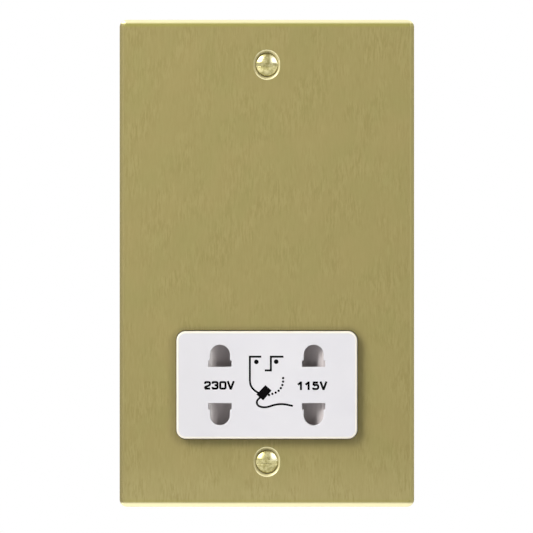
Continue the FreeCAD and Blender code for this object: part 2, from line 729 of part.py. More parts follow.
def locating_lip():
    """A low ring that centres the rear cover."""
    half_w = CHASSIS_HALF_W - COVER_WALL - LIP_CLEARANCE
    low = CHASSIS_LOW_Z + COVER_WALL + LIP_CLEARANCE
    high = CHASSIS_TOP_Z - COVER_WALL - LIP_CLEARANCE
    ring = slab(half_w, BASE_Y - 1, BASE_Y + LIP_H, low, high, LIP_CORNER_R)
    core = block(-half_w + LIP_T, half_w - LIP_T, BASE_Y - 1, BASE_Y + LIP_H, low + LIP_T, high - LIP_T)
    return ring.cut(core)


def chassis_cutters():
    cutters = []
    for x in (-OUTLET_X, OUTLET_X):
        for side in (-1, 1):
            near = INSERT_Z + side * POCKET_START_Z
            far = INSERT_Z + side * POCKET_END_Z
            well = block(
                x - POCKET_HALF_W,
                x + POCKET_HALF_W,
                BASE_Y,
                POCKET_BACK_Y + 1,
                min(near, far),
                max(near, far),
            )
            cutters.append(well)
            cutters.append(pin_opening(x, side, PIN_CLEARANCE, FLOOR_Y - 1, BASE_Y + 1))
    for x, z in STUDS:
        cutters.append(rod(STUD_R + EAR_HOLE_CLEARANCE, -1, BASE_Y + 1, x, z))
    pilot_r = M3_R + THREAD_CLEARANCE
    for x, z in CORE_CORNERS:
        cutters.append(rod(pilot_r, CORE_BACK_Y - CORE_SCREW_L - PILOT_SPARE, CORE_FRONT_Y + 1, x, z))
    for x, z, top, cover_back in PILLARS:
        cutters.append(rod(pilot_r, top + BOSS_FLOOR - COVER_SCREW_L - PILOT_SPARE, top + 1, x, z))
    return cutters + track_cutters()


def track_cutters():
    """Grooves for the switch tracks, with slots for their tails."""
    gap = TRACK_CLEARANCE
    half = TRACK_W / 2 + gap
    rail_z = INSERT_Z + TRACK_Z
    pad_z = INSERT_Z - TRACK_Z
    groove_y = FLOOR_Y + TRACK_T
    end_x = TRACK_END_X + gap
    low = rail_z - half
    high = rail_z + half
    cutters = [
        block(-end_x, end_x, FLOOR_Y - 1, groove_y, low, high),
        block(-TAIL_X - gap, -TAIL_X + TAIL_T + gap, FLOOR_Y, BASE_Y + 1, low, high),
    ]
    for side in (-1, 1):
        x0 = min(side * (PAD_START_X - gap), side * (TRACK_END_X + gap))
        x1 = max(side * (PAD_START_X - gap), side * (TRACK_END_X + gap))
        cutters.append(block(x0, x1, FLOOR_Y - 1, groove_y, pad_z - half, pad_z + half))
        t0 = min(side * (TAIL_X - TAIL_T - gap), side * (TAIL_X + gap))
        t1 = max(side * (TAIL_X - TAIL_T - gap), side * (TAIL_X + gap))
        cutters.append(block(t0, t1, FLOOR_Y, BASE_Y + 1, pad_z - half, pad_z + half))
    return cutters


def switch_rail():
    z0 = INSERT_Z + TRACK_Z - TRACK_W / 2
    z1 = z0 + TRACK_W
    track = block(-TRACK_END_X, TRACK_END_X, FLOOR_Y, FLOOR_Y + TRACK_T, z0, z1)
    tail = block(-TAIL_X, -TAIL_X + TAIL_T, FLOOR_Y, TAIL_TIP_Y, z0, z1)
    return fused([track, tail])


def switch_pads():
    z0 = INSERT_Z - TRACK_Z - TRACK_W / 2
    z1 = z0 + TRACK_W
    link_y = BASE_Y + LINK_BACK
    return fused(
        [
            block(-TRACK_END_X, -PAD_START_X, FLOOR_Y, FLOOR_Y + TRACK_T, z0, z1),
            block(PAD_START_X, TRACK_END_X, FLOOR_Y, FLOOR_Y + TRACK_T, z0, z1),
            block(-TAIL_X, -TAIL_X + TAIL_T, FLOOR_Y, link_y + TAIL_T, z0, z1),
            block(TAIL_X - TAIL_T, TAIL_X, FLOOR_Y, TAIL_TIP_Y, z0, z1),
            block(-TAIL_X, TAIL_X, link_y, link_y + TAIL_T, z0, z1),
        ]
    )


def contact_leaf(x, side):
    """A folded spring leaf in one pocket, open towards the pin opening."""
    throat_y = LEAF_BACK_Y - LEAF_THROAT_BACK
    outer_z = LEAF_INNER_Z + LEAF_OUT
    throat_z = outer_z - LEAF_THROAT_IN
    outline = [
        (BASE_Y + LEAF_START, LEAF_INNER_Z),
        (LEAF_BACK_Y, LEAF_INNER_Z),
        (LEAF_BACK_Y, outer_z),
        (throat_y, throat_z),
        (throat_y - LEAF_FLARE_FRONT, throat_z + LEAF_FLARE_OUT),
    ]
    points = [(x, y, INSERT_Z + side * z) for y, z in outline]
    return strip(points, [LEAF_BEND_R, LEAF_BEND_R, LEAF_THROAT_R], LEAF_T, LEAF_W)


def solder_tag(x, side):
    z = INSERT_Z + side * TAG_Z
    half = TAG_W / 2
    return block(x - half, x + half, LEAF_BACK_Y, TAG_TIP_Y, z - LEAF_T / 2, z + LEAF_T / 2)


def live_contact(x):
    return fused([contact_leaf(x, 1), solder_tag(x, 1)])


def common_contact():
    z = INSERT_Z - TAG_Z
    back = POCKET_BACK_Y + BAR_CLEARANCE
    bar = block(-BAR_HALF_L, BAR_HALF_L, back, back + BAR_T, z - BAR_H / 2, z + BAR_H / 2)
    return fused([contact_leaf(-OUTLET_X, -1), contact_leaf(OUTLET_X, -1), bar, solder_tag(0, -1)])


def core_holes():
    return [rod(CORE_HOLE_R, CORE_FRONT_Y - 1, CORE_BACK_Y + 1, x, z) for x, z in CORE_CORNERS]


def core_e_stack():
    low = CORE_Z - CORE_HALF_H
    high = CORE_Z + WINDOW_HALF_H
    yoke_top = CORE_Z - WINDOW_HALF_H
    inner = CORE_HALF_W - LEG_SIDE
    pieces = [
        block(-CORE_HALF_W, CORE_HALF_W, CORE_FRONT_Y, CORE_BACK_Y, low, yoke_top),
        block(-CORE_HALF_W, -inner, CORE_FRONT_Y, CORE_BACK_Y, low, high),
        block(inner, CORE_HALF_W, CORE_FRONT_Y, CORE_BACK_Y, low, high),
        block(-LEG_MID / 2, LEG_MID / 2, CORE_FRONT_Y, CORE_BACK_Y, low, high),
    ]
    return fused(pieces).cut(core_holes())


def core_i_stack():
    low = CORE_Z + WINDOW_HALF_H
    bar = block(-CORE_HALF_W, CORE_HALF_W, CORE_FRONT_Y, CORE_BACK_Y, low, CORE_Z + CORE_HALF_H)
    return bar.cut(core_holes())


def upright(half_x, half_y, z0, z1, radius):
    """A block around the transformer's middle, with rounded upright edges."""
    solid = block(-half_x, half_x, CORE_Y - half_y, CORE_Y + half_y, CORE_Z + z0, CORE_Z + z1)
    return rounded(solid, UP, radius)


def bobbin():
    pieces = [upright(TUBE_HALF_X, TUBE_HALF_Y, -CHEEK_OUT_Z, CHEEK_OUT_Z, TUBE_CORNER_R)]
    for z0 in (-CHEEK_OUT_Z, -CHEEK_T / 2, CHEEK_IN_Z):
        pieces.append(upright(CHEEK_HALF_W, CHEEK_HALF_D, z0, z0 + CHEEK_T, CHEEK_CORNER_R))
    for side in (-1, 1):
        y = CORE_Y + side * RAIL_MID_Y
        near = CORE_Z + side * CHEEK_IN_Z
        far = CORE_Z + side * RAIL_TOP_Z
        half = RAIL_T / 2
        pieces.append(block(-RAIL_HALF_L, RAIL_HALF_L, y - half, y + half, min(near, far), max(near, far)))
    inner_x = LEG_MID / 2 + TUBE_CLEARANCE
    inner_y = STACK_T / 2 + TUBE_CLEARANCE
    reach = CORE_HALF_H
    bore = block(-inner_x, inner_x, CORE_Y - inner_y, CORE_Y + inner_y, CORE_Z - reach, CORE_Z + reach)
    hole_r = PIN_R + PIN_FIT
    holes = []
    for x, y, side in pin_places():
        root = CORE_Z + side * (RAIL_TOP_Z - PIN_BURIED)
        holes.append(Part.makeCylinder(hole_r, PIN_BURIED + 1, V(x, y, root), UP * side))
    return fused(pieces).cut([bore] + holes)


def pin_places():
    primary = [(x, PRIMARY_PIN_Y, 1) for x in (-PIN_PITCH, PIN_PITCH)]
    secondary = [(x, SECONDARY_PIN_Y, -1) for x in (-PIN_PITCH, 0, PIN_PITCH)]
    return primary + secondary


def pins(side):
    pieces = []
    for x, y, facing in pin_places():
        if facing == side:
            root = V(x, y, CORE_Z + side * (RAIL_TOP_Z - PIN_BURIED))
            pieces.append(Part.makeCylinder(PIN_R, PIN_BURIED + PIN_STICKOUT, root, UP * side))
    return Part.makeCompound(pieces)


def winding(z0, z1, under, build, inner_r, outer_r):
    """A ring of wire or tape around the tube, from one depth to another."""
    x = TUBE_HALF_X + under
    y = TUBE_HALF_Y + under
    outer = upright(x + build, y + build, z0, z1, outer_r)
    return outer.cut(upright(x, y, z0 - 1, z1 + 1, inner_r))


def coil(side):
    z0 = min(side * CHEEK_T / 2, side * CHEEK_IN_Z)
    z1 = max(side * CHEEK_T / 2, side * CHEEK_IN_Z)
    return winding(z0, z1, 0, WINDING_BUILD, TUBE_CORNER_R, WINDING_CORNER_R)


def tape(side):
    z0 = min(side * CHEEK_T / 2, side * CHEEK_IN_Z) + TAPE_MARGIN
    z1 = max(side * CHEEK_T / 2, side * CHEEK_IN_Z) - TAPE_MARGIN
    return winding(z0, z1, WINDING_BUILD, TAPE_T, WINDING_CORNER_R, WINDING_CORNER_R + TAPE_T)


def thermal_cutout():
    half_w = CUTOUT_W / 2
    half_d = CUTOUT_D / 2
    y = PRIMARY_PIN_Y
    can = block(
        CUTOUT_X - half_w,
        CUTOUT_X + half_w,
        y - half_d,
        y + half_d,
        CUTOUT_LOW_Z,
        CUTOUT_LOW_Z + CUTOUT_H,
    )
    return rounded(can, UP, CUTOUT_R)


def pan_screw(x, z, seat_y, length, head_r, head_h, shank_r):
    """A cross-recessed screw driven from the rear."""
    head = rod(head_r, seat_y, seat_y + head_h, x, z)
    head = head.makeFillet(PAN_SOFT_R, edges_at_depth(head, seat_y + head_h))
    shank = rod(shank_r, seat_y - length, seat_y, x, z)
    half = CROSS_W / 2
    reach = CROSS_L / 2
    floor = seat_y + head_h - CROSS_DEEP
    recess = [
        block(x - half, x + half, floor, seat_y + head_h + 1, z - reach, z + reach),
        block(x - reach, x + reach, floor, seat_y + head_h + 1, z - half, z + half),
    ]
    return fused([head, shank]).cut(recess)


def core_screw(x, z):
    return pan_screw(x, z, CORE_BACK_Y, CORE_SCREW_L, PAN_HEAD_R, PAN_HEAD_H, M3_R)


def cover_screw(x, z, pillar_top):
    return pan_screw(x, z, pillar_top + BOSS_FLOOR, COVER_SCREW_L, PAN_HEAD_R, PAN_HEAD_H, M3_R)


def rear_cover():
    low = CHASSIS_LOW_Z
    top = CHASSIS_TOP_Z
    wall = COVER_WALL
    inner_w = CHASSIS_HALF_W - wall
    shallow = slab(CHASSIS_HALF_W, BASE_Y, COVER_SHALLOW, low, top, CHASSIS_CORNER_R)
    deep = slab(CHASSIS_HALF_W, BASE_Y, COVER_DEEP, COVER_STEP_Z, top, CHASSIS_CORNER_R)
    shallow = shallow.makeFillet(COVER_EDGE_R, edges_at_depth(shallow, COVER_SHALLOW))
    deep = deep.makeFillet(COVER_EDGE_R, edges_at_depth(deep, COVER_DEEP))
    stalls = [
        stall_block(TERMINAL_XS["line"], TERMINAL_XS["neutral"]),
        stall_block(TERMINAL_XS["earth"], TERMINAL_XS["earth"]),
    ]
    shell = fused([shallow, deep] + stalls)
    hollows = [
        block(-inner_w, inner_w, BASE_Y - 1, COVER_SHALLOW - wall, low + wall, top - wall),
        block(-inner_w, inner_w, BASE_Y - 1, COVER_DEEP - wall, COVER_STEP_Z + wall, top - wall),
    ]
    shell = shell.cut(hollows)
    bosses = []
    for x, z, pillar_top, cover_back in PILLARS:
        bosses.append(rod(BOSS_R, pillar_top, cover_back - wall / 2, x, z))
    shell = fused([shell] + bosses)
    return shell.cut(stall_cutters() + cover_screw_holes() + vents())


def stall_block(first_x, last_x):
    """The walls around one or two terminals, behind the shallow part."""
    reach = STALL_HALF_W + STALL_WALL
    low = STALL_LOW_Z - STALL_WALL
    inner_low = COVER_STEP_Z + COVER_WALL / 2
    return block(first_x - reach, last_x + reach, COVER_SHALLOW - 1, STALL_BACK, low, inner_low)


def stall_cutters():
    cutters = []
    for name, x in TERMINAL_XS.items():
        low = STALL_LOW_Z - STALL_WALL
        high = COVER_STEP_Z - STALL_WALL
        back = COVER_DEEP
        cutters.append(block(x - STALL_HALF_W, x + STALL_HALF_W, COVER_SHALLOW, back, STALL_LOW_Z, high))
        cutters.append(Part.makeCylinder(NOTCH_R, STALL_WALL + 1, V(x, BORE_Y, low - 0.5), UP))
        cutters.append(block(x - NOTCH_R, x + NOTCH_R, BORE_Y, back, low - 0.5, STALL_LOW_Z + 0.5))
        if name == "earth":
            half = STRAP_W / 2 + LINK_SLOT_CLEARANCE
            cutters.append(
                block(
                    x - half,
                    x + half,
                    COVER_SHALLOW,
                    TERMINAL_FRONT_Y + LINK_SLOT_CLEARANCE,
                    low - 0.5,
                    STALL_LOW_Z + 0.5,
                )
            )
        else:
            half = LINK_W / 2 + LINK_SLOT_CLEARANCE
            below = LINK_Z - LINK_BEND_R - LINK_SLOT_CLEARANCE
            above = LINK_Z + LINK_T / 2 + LINK_SLOT_CLEARANCE
            front = COVER_SHALLOW - COVER_WALL - 1
            cutters.append(block(x - half, x + half, front, COVER_SHALLOW + 1, below, above))
    return cutters


def cover_screw_holes():
    cutters = []
    for x, z, pillar_top, cover_back in PILLARS:
        cutters.append(rod(M3_R + EAR_HOLE_CLEARANCE, pillar_top - 1, cover_back + 1, x, z))
        cutters.append(rod(PAN_HEAD_R + HEAD_ROOM, pillar_top + BOSS_FLOOR, cover_back + 1, x, z))
    return cutters


def vents():
    cutters = []
    half = VENT_W / 2
    front = COVER_DEEP - COVER_WALL - 1
    low = CORE_Z - VENT_BELOW
    high = CORE_Z + VENT_ABOVE
    for i in range(VENT_COUNT):
        x = (i - (VENT_COUNT - 1) / 2) * VENT_PITCH
        cutters.append(block(x - half, x + half, front, COVER_DEEP + 1, low, high))
    for i in range(SIDE_VENT_COUNT):
        z = CORE_Z + (i - (SIDE_VENT_COUNT - 1) / 2) * SIDE_VENT_PITCH
        for side in (-1, 1):
            x0 = side * CHASSIS_HALF_W - COVER_WALL - 1
            x1 = side * CHASSIS_HALF_W + COVER_WALL + 1
            back = COVER_DEEP - SIDE_VENT_INSET
            cutters.append(block(x0, x1, back - SIDE_VENT_L, back, z - half, z + half))
    return cutters


def terminal(x):
    half = TERMINAL_W / 2
    body = block(x - half, x + half, TERMINAL_FRONT_Y, TERMINAL_BACK_Y, TERMINAL_LOW_Z, TERMINAL_TOP_Z)
    bore = Part.makeCylinder(WIRE_BORE_R, TERMINAL_L + 2, V(x, BORE_Y, TERMINAL_LOW_Z - 1), UP)
    tapped = rod(TERMINAL_SCREW_R + THREAD_CLEARANCE, BORE_Y, TERMINAL_BACK_Y + 1, x, TERMINAL_MID_Z)
    return body.cut([bore, tapped])


def terminal_screw(x):
    seat = TERMINAL_BACK_Y + TERMINAL_HEAD_LIFT
    length = seat - BORE_Y - WIRE_BORE_R - TERMINAL_TIP_GAP
    return pan_screw(x, TERMINAL_MID_Z, seat, length, TERMINAL_HEAD_R, TERMINAL_HEAD_H, TERMINAL_SCREW_R)


def link(x):
    """A strip from under a terminal, through the cover, to its lead."""
    points = [(x, LINK_MID_Y, TERMINAL_LOW_Z), (x, LINK_MID_Y, LINK_Z), (x, LINK_FRONT_Y, LINK_Z)]
    return strip(points, [LINK_BEND_R], LINK_T, LINK_W)


def earth_strap():
    """A strip from a faceplate stud around the cover to the earth terminal."""
    y = BASE_Y + LINK_T / 2
    edge_z = CHASSIS_LOW_Z - STRAP_GAP - LINK_T / 2
    points = [
        (STUD_X, y, STUD_LOW_Z),
        (STUD_X, y, edge_z),
        (STUD_X, LINK_MID_Y, edge_z),
        (STUD_X, LINK_MID_Y, TERMINAL_TOP_Z),
    ]
    body = strip(points, [STRAP_BEND_R, STRAP_EDGE_BEND_R], LINK_T, STRAP_W)
    ring = rod(WASHER_R, BASE_Y, BASE_Y + LINK_T, STUD_X, STUD_LOW_Z)
    trim = block(
        STUD_X - WASHER_R,
        STUD_X + WASHER_R,
        BASE_Y,
        BASE_Y + LINK_T,
        edge_z - LINK_T / 2,
        CHASSIS_LOW_Z + WASHER_R,
    )
    hole = rod(STUD_R + EAR_HOLE_CLEARANCE, BASE_Y - 1, BASE_Y + LINK_T + 1, STUD_X, STUD_LOW_Z)
    return fused([body, ring.cut(trim)]).cut(hole)


def stud_washer(x, z):
    ring = rod(WASHER_R, BASE_Y, BASE_Y + WASHER_T, x, z)
    return ring.cut(rod(STUD_R + EAR_HOLE_CLEARANCE, BASE_Y - 1, BASE_Y + 2, x, z))


def stud_nut(x, z, seat_y):
    circle_r = NUT_AF / math.sqrt(3)
    corners = []
    for i in range(6):
        angle = math.radians(60 * i)
        corners.append(V(x + circle_r * math.cos(angle), seat_y, z + circle_r * math.sin(angle)))
    face = Part.Face(Part.makePolygon(corners + [corners[0]]))
    body = face.extrude(INWARD * NUT_H)
    return body.cut(rod(STUD_R + THREAD_CLEARANCE, seat_y - 1, seat_y + NUT_H + 1, x, z))


def leads():
    line_x = TERMINAL_XS["line"]
    neutral_x = TERMINAL_XS["neutral"]
    under_link = LINK_Z - LINK_T / 2
    over_link = LINK_Z + LINK_T / 2
    link_y = LINK_FRONT_Y + LINK_LEAD_UP
    tail_y = BASE_Y + TAIL_LEAD_BACK
    rail_z = INSERT_Z + TRACK_Z
    pad_z = INSERT_Z - TRACK_Z
    side_x = CUTOUT_X
    outer_x = LEAD_OUTER_X
    outer_y = BASE_Y + LEAD_OUTER_BACK
    fall_z = LINK_Z - LEAD_FALL
    rise_z = COVER_STEP_Z + LEAD_RISE
    under_z = CORE_LOW_Z - LEAD_UNDER_CORE
    back_y = PRIMARY_PIN_Y
    loop_z = PRIMARY_TIP_Z + LEAD_LOOP
    tag_y = TAG_LEAD_Y
    tip_z = SECONDARY_TIP_Z
    live_z = INSERT_Z + TAG_Z + LEAF_T / 2
    common_z = INSERT_Z - TAG_Z + LEAF_T / 2
    return {
        "lead_line": [
            (line_x, link_y, under_link),
            (line_x, link_y, fall_z),
            (line_x, tail_y, rail_z),
            (-TAIL_X, tail_y, rail_z),
        ],
        "lead_switched": [
            (TAIL_X, tail_y, pad_z),
            (outer_x, tail_y, pad_z),
            (outer_x, outer_y, fall_z),
            (outer_x, outer_y, rise_z),
            (side_x, back_y, under_z),
            (side_x, back_y, CUTOUT_LOW_Z),
        ],
        "lead_primary": [
            (PIN_PITCH, back_y, PRIMARY_TIP_Z),
            (PIN_PITCH, back_y, loop_z),
            (side_x, back_y, loop_z),
            (side_x, back_y, CUTOUT_LOW_Z + CUTOUT_H),
        ],
        "lead_neutral": [
            (neutral_x, link_y, over_link),
            (neutral_x, link_y, rise_z),
            (-side_x, back_y, under_z),
            (-side_x, back_y, loop_z),
            (-PIN_PITCH, back_y, loop_z),
            (-PIN_PITCH, back_y, PRIMARY_TIP_Z),
        ],
        "lead_230": [
            (-PIN_PITCH, SECONDARY_PIN_Y, tip_z),
            (-PIN_PITCH, SECONDARY_PIN_Y, under_z),
            (-OUTLET_X, tag_y, COVER_STEP_Z),
            (-OUTLET_X, tag_y, live_z),
        ],
        "lead_115": [
            (PIN_PITCH, SECONDARY_PIN_Y, tip_z),
            (PIN_PITCH, SECONDARY_PIN_Y, under_z),
            (OUTLET_X, tag_y, COVER_STEP_Z),
            (OUTLET_X, tag_y, live_z),
        ],
        "lead_common": [
            (0, SECONDARY_PIN_Y, tip_z),
            (0, SECONDARY_PIN_Y, under_z),
            (0, tag_y, COVER_STEP_Z),
            (0, tag_y, common_z),
        ],
    }


def build():
    parts = {
        "faceplate": faceplate(),
        "socket_insert": socket_insert(),
        "fixing_screw_top": fixing_screw(FIXING_Z),
        "fixing_screw_bottom": fixing_screw(-FIXING_Z),
        "chassis": chassis(),
        "shutter": shutter(),
        "switch_wiper": switch_wiper(),
        "shutter_spring_left": spring(-1),
        "shutter_spring_right": spring(1),
        "contact_230v": live_contact(-OUTLET_X),
        "contact_115v": live_contact(OUTLET_X),
        "contact_common": common_contact(),
        "switch_rail": switch_rail(),
        "switch_pads": switch_pads(),
        "rear_cover": rear_cover(),
        "core_e_stack": core_e_stack(),
        "core_i_stack": core_i_stack(),
        "bobbin": bobbin(),
        "primary_winding": coil(1),
        "secondary_winding": coil(-1),
        "primary_tape": tape(1),
        "secondary_tape": tape(-1),
        "primary_pins": pins(1),
        "secondary_pins": pins(-1),
        "thermal_cutout": thermal_cutout(),
        "line_link": link(TERMINAL_XS["line"]),
        "neutral_link": link(TERMINAL_XS["neutral"]),
        "earth_strap": earth_strap(),
    }
    for i, (x, z) in enumerate(CORE_CORNERS, 1):
        parts[f"core_screw_{i}"] = core_screw(x, z)
    for i, (x, z, top, cover_back) in enumerate(PILLARS, 1):
        parts[f"cover_screw_{i}"] = cover_screw(x, z, top)
    for name, x in TERMINAL_XS.items():
        parts[f"terminal_{name}"] = terminal(x)
        parts[f"terminal_screw_{name}"] = terminal_screw(x)
    for i, (x, z) in enumerate(STUDS, 1):
        under = LINK_T if i == len(STUDS) else WASHER_T
        parts[f"stud_nut_{i}"] = stud_nut(x, z, BASE_Y + under)
    for i, (x, z) in enumerate(STUDS[:-1], 1):
        parts[f"stud_washer_{i}"] = stud_washer(x, z)
    for name, points in leads().items():
        parts[name] = lead(points)
    return parts


def main():
    os.makedirs("parts", exist_ok=True)
    for name, shape in build().items():
        shape.exportStep(f"parts/{name}.step")


main()
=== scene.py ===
import json
import math

import bmesh
import bpy
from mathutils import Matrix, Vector


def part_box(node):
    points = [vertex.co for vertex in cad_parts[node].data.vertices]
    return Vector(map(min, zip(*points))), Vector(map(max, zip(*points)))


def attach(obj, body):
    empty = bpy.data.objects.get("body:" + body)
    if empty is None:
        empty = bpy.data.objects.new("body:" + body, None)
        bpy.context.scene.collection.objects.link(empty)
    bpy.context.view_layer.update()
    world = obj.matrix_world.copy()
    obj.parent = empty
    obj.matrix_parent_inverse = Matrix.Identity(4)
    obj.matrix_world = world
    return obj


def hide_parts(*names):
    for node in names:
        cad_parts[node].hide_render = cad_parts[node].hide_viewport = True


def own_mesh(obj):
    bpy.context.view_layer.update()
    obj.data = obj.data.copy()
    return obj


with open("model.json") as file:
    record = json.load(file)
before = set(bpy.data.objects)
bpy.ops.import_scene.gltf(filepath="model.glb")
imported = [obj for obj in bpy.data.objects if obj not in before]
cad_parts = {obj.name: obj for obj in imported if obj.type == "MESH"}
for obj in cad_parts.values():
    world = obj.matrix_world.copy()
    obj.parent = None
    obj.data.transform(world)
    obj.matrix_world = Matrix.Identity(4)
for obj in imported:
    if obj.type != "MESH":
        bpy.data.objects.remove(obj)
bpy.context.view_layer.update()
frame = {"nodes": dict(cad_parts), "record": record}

bl_info = {
    "name": "Shaver Socket",
    "version": (1, 0, 0),
    "blender": (4, 5, 0),
    "location": "View3D > Sidebar > Shaver Socket",
    "description": "Dresses the shaver socket and sets its stage",
    "category": "Object",
}

MM = 0.001
PLATE_LOW, PLATE_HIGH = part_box("faceplate")
INSERT_LOW, INSERT_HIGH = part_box("socket_insert")
INSERT_MIDDLE = (INSERT_LOW + INSERT_HIGH) / 2
# The insert's face in millimetres: width, height and corner radius
FACE_SIZE = (54.8, 32.6, 2.8)
# An oblong countersink in millimetres: half its straight side, and over which distances from
# its middle line its polished edge, partly a painted highlight, begins and ends
SINK_STRAIGHT = 0.55
SINK_INNER = (3.7 * MM, 3.76 * MM)
SINK_OUTER = (3.96 * MM, 4.04 * MM)
# How near corners are welded, in metres, and how alike the normals of one flat area are
WELD = 2e-6
SAME_PLANE = 0.99999
# Angles in degrees: faces merge below the first, an edge is rounded above the second, and stays
# sharp in the shading above the third
FLAT_TURN = 0.8
ROUNDED_TURN = 32
SHARP_TURN = 38
SCREW_NAMES = ["fixing_screw_top", "fixing_screw_bottom"]
LEAD_COLOURS = {
    "lead_line": "brown_lead",
    "lead_switched": "brown_lead",
    "lead_primary": "brown_lead",
    "lead_neutral": "blue_lead",
    "lead_230": "red_lead",
    "lead_115": "yellow_lead",
    "lead_common": "grey_lead",
}

# Each letter: its strokes, from 0 to 1 across and up, and how round their corners are
GLYPHS = {
    "0": [
        ([(0.5, 1), (0, 1), (0, 0), (0.5, 0)], 0.5),
        ([(0.5, 0), (1, 0), (1, 1), (0.5, 1)], 0.5),
    ],
    "1": [([(0.62, -0.16), (0.62, 1.16)], 0), ([(0.62, 1.02), (0.0, 0.66)], 0)],
    "2": [
        ([(0, 0.72), (0, 1), (1, 1), (1, 0.54), (0, 0.24), (0, 0)], 0.44),
        ([(-0.06, 0), (1.04, 0)], 0),
    ],
    "3": [
        ([(0, 0.74), (0, 1), (1, 1), (1, 0.53), (0.4, 0.53)], 0.42),
        ([(0.4, 0.53), (1, 0.53), (1, 0), (0, 0), (0, 0.26)], 0.44),
    ],
    "5": [
        ([(0.98, 1), (0.12, 1), (0.06, 0.55)], 0),
        ([(0.06, 0.52), (0.46, 0.64), (1, 0.62), (1, 0), (0, 0), (0, 0.22)], 0.44),
    ],
    "V": [([(-0.08, 1.16), (0.45, 0.0), (0.55, 0.0), (1.08, 1.16)], 0)],
}
GLYPH_WIDTHS = {"0": 1.0, "1": 0.94, "2": 0.92, "3": 0.92, "5": 0.94, "V": 0.98}


def tone(red, green, blue):
    """A linear colour from the usual 0 to 255 values."""
    parts = []
    for value in (red, green, blue):
        share = value / 255
        parts.append(share / 12.92 if share <= 0.04045 else ((share + 0.055) / 1.055) ** 2.4)
    return (*parts, 1.0)


def middle_of(node):
    """The middle of a CAD node's box."""
    low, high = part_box(node)
    return (low + high) / 2


class Channel:
    """A socket whose Python arithmetic adds Math nodes."""

    def __init__(self, graph, socket):
        self.graph = graph
        self.socket = socket

    def other(self, name):
        """Another output of the same node."""
        return Channel(self.graph, self.socket.node.outputs[name])

    def __add__(self, value):
        return self.graph.maths("ADD", self, value)

    def __sub__(self, value):
        return self.graph.maths("SUBTRACT", self, value)

    def __rsub__(self, value):
        return self.graph.maths("SUBTRACT", value, self)

    def __mul__(self, value):
        return self.graph.maths("MULTIPLY", self, value)

    def __truediv__(self, value):
        return self.graph.maths("DIVIDE", self, value)

    def __rtruediv__(self, value):
        return self.graph.maths("DIVIDE", value, self)

    def __abs__(self):
        return self.graph.maths("ABSOLUTE", self)

    __radd__ = __add__
    __rmul__ = __mul__


class Graph:
    """A node tree that grows from Python calls."""

    def __init__(self, tree):
        self.tree = tree

    def node(self, kind, settings=None, values=None, result=0):
        """Adds one node: its settings, then the values or links of its sockets."""
        made = self.tree.nodes.new(kind)
        for name, value in (settings or {}).items():
            setattr(made, name, value)
        for name, value in (values or {}).items():
            self.feed(made.inputs[name], value)
        return Channel(self, made.outputs[result])

    def feed(self, socket, value):
        if isinstance(value, Channel):
            self.tree.links.new(value.socket, socket)
        else:
            socket.default_value = value

    def maths(self, operation, *values):
        return self.node("ShaderNodeMath", {"operation": operation}, dict(enumerate(values)))

    def vector(self, operation, *values):
        return self.node("ShaderNodeVectorMath", {"operation": operation}, dict(enumerate(values)))

    def between(self, value, low, high):
        """0 below low, 1 above high, smooth between them."""
        settings = {"interpolation_type": "SMOOTHSTEP"}
        values = {"Value": value, "From Min": low, "From Max": high}
        return self.node("ShaderNodeMapRange", settings, values)


class Finish(Graph):
    """A procedural material on Object coordinates."""

    def __init__(self, name, constants):
        self.material = bpy.data.materials.new(name)
        self.material.use_nodes = True
        super().__init__(self.material.node_tree)
        self.tree.nodes.clear()
        self.surface = self.tree.nodes.new("ShaderNodeBsdfPrincipled")
        output = self.tree.nodes.new("ShaderNodeOutputMaterial")
        self.tree.links.new(self.surface.outputs[0], output.inputs[0])
        self.place = self.node("ShaderNodeTexCoord", result="Object")
        self.set(constants)

    def set(self, values):
        for name, value in values.items():
            self.feed(self.surface.inputs[name], value)

    def noise(self, size, detail, rough):
        """Noise whose features are about size millimetres along X, Y and Z."""
        stretch = tuple(1 / (length * MM) for length in size)
        place = self.vector("MULTIPLY", self.place, stretch)
        values = {"Vector": place, "Scale": 1.0, "Detail": detail, "Roughness": rough}
        return self.node("ShaderNodeTexNoise", None, values)

    def mix(self, factor, first, second):
        # A Mix node's inputs 6 and 7 and its output 2 are the ones for colours
        values = {0: factor, 6: first, 7: second}
        return self.node("ShaderNodeMix", {"data_type": "RGBA"}, values, 2)

    def axis(self, name):
        return self.node("ShaderNodeSeparateXYZ", None, {0: self.place}, name)

    def done(self, colour, rough, height, depth, strength):
        """The material with its colour, roughness and bump, whose depth is in millimetres."""
        values = {"Height": height, "Distance": depth * MM, "Strength": strength}
        bump = self.node("ShaderNodeBump", None, values)
        self.set({"Base Color": colour, "Roughness": rough, "Normal": bump})
        return self.material


def plate_grain(finish, look, sizes):
    """The plate's colour, its streaks, the finest of them and its blotches."""
    grain = finish.noise((sizes.grain_width, 6, sizes.grain_length), 3, 0.6)
    fine = finish.noise((sizes.grain_width * 0.4, 6, sizes.grain_length * 0.6), 2, 0.6)
    blotch = finish.noise((9, 9, 13), 3, 0.55)
    warm = finish.noise((17, 17, 15), 2, 0.5)
    streak = finish.between(grain * 0.65 + fine * 0.35, 0.32, 0.68)
    patch = finish.between(finish.noise((6, 6, 8), 2, 0.5), 0.42, 0.62)
    streak = 0.5 + (streak - 0.5) * (0.5 + patch * 1.3)
    colour = finish.mix(streak, look.plate_dark, look.plate_light)
    colour = finish.mix(finish.between(blotch, 0.42, 0.7) * 0.4, colour, look.plate_green)
    colour = finish.mix(finish.between(warm, 0.45, 0.7) * 0.4, colour, look.plate_red)
    return colour, streak, fine, blotch


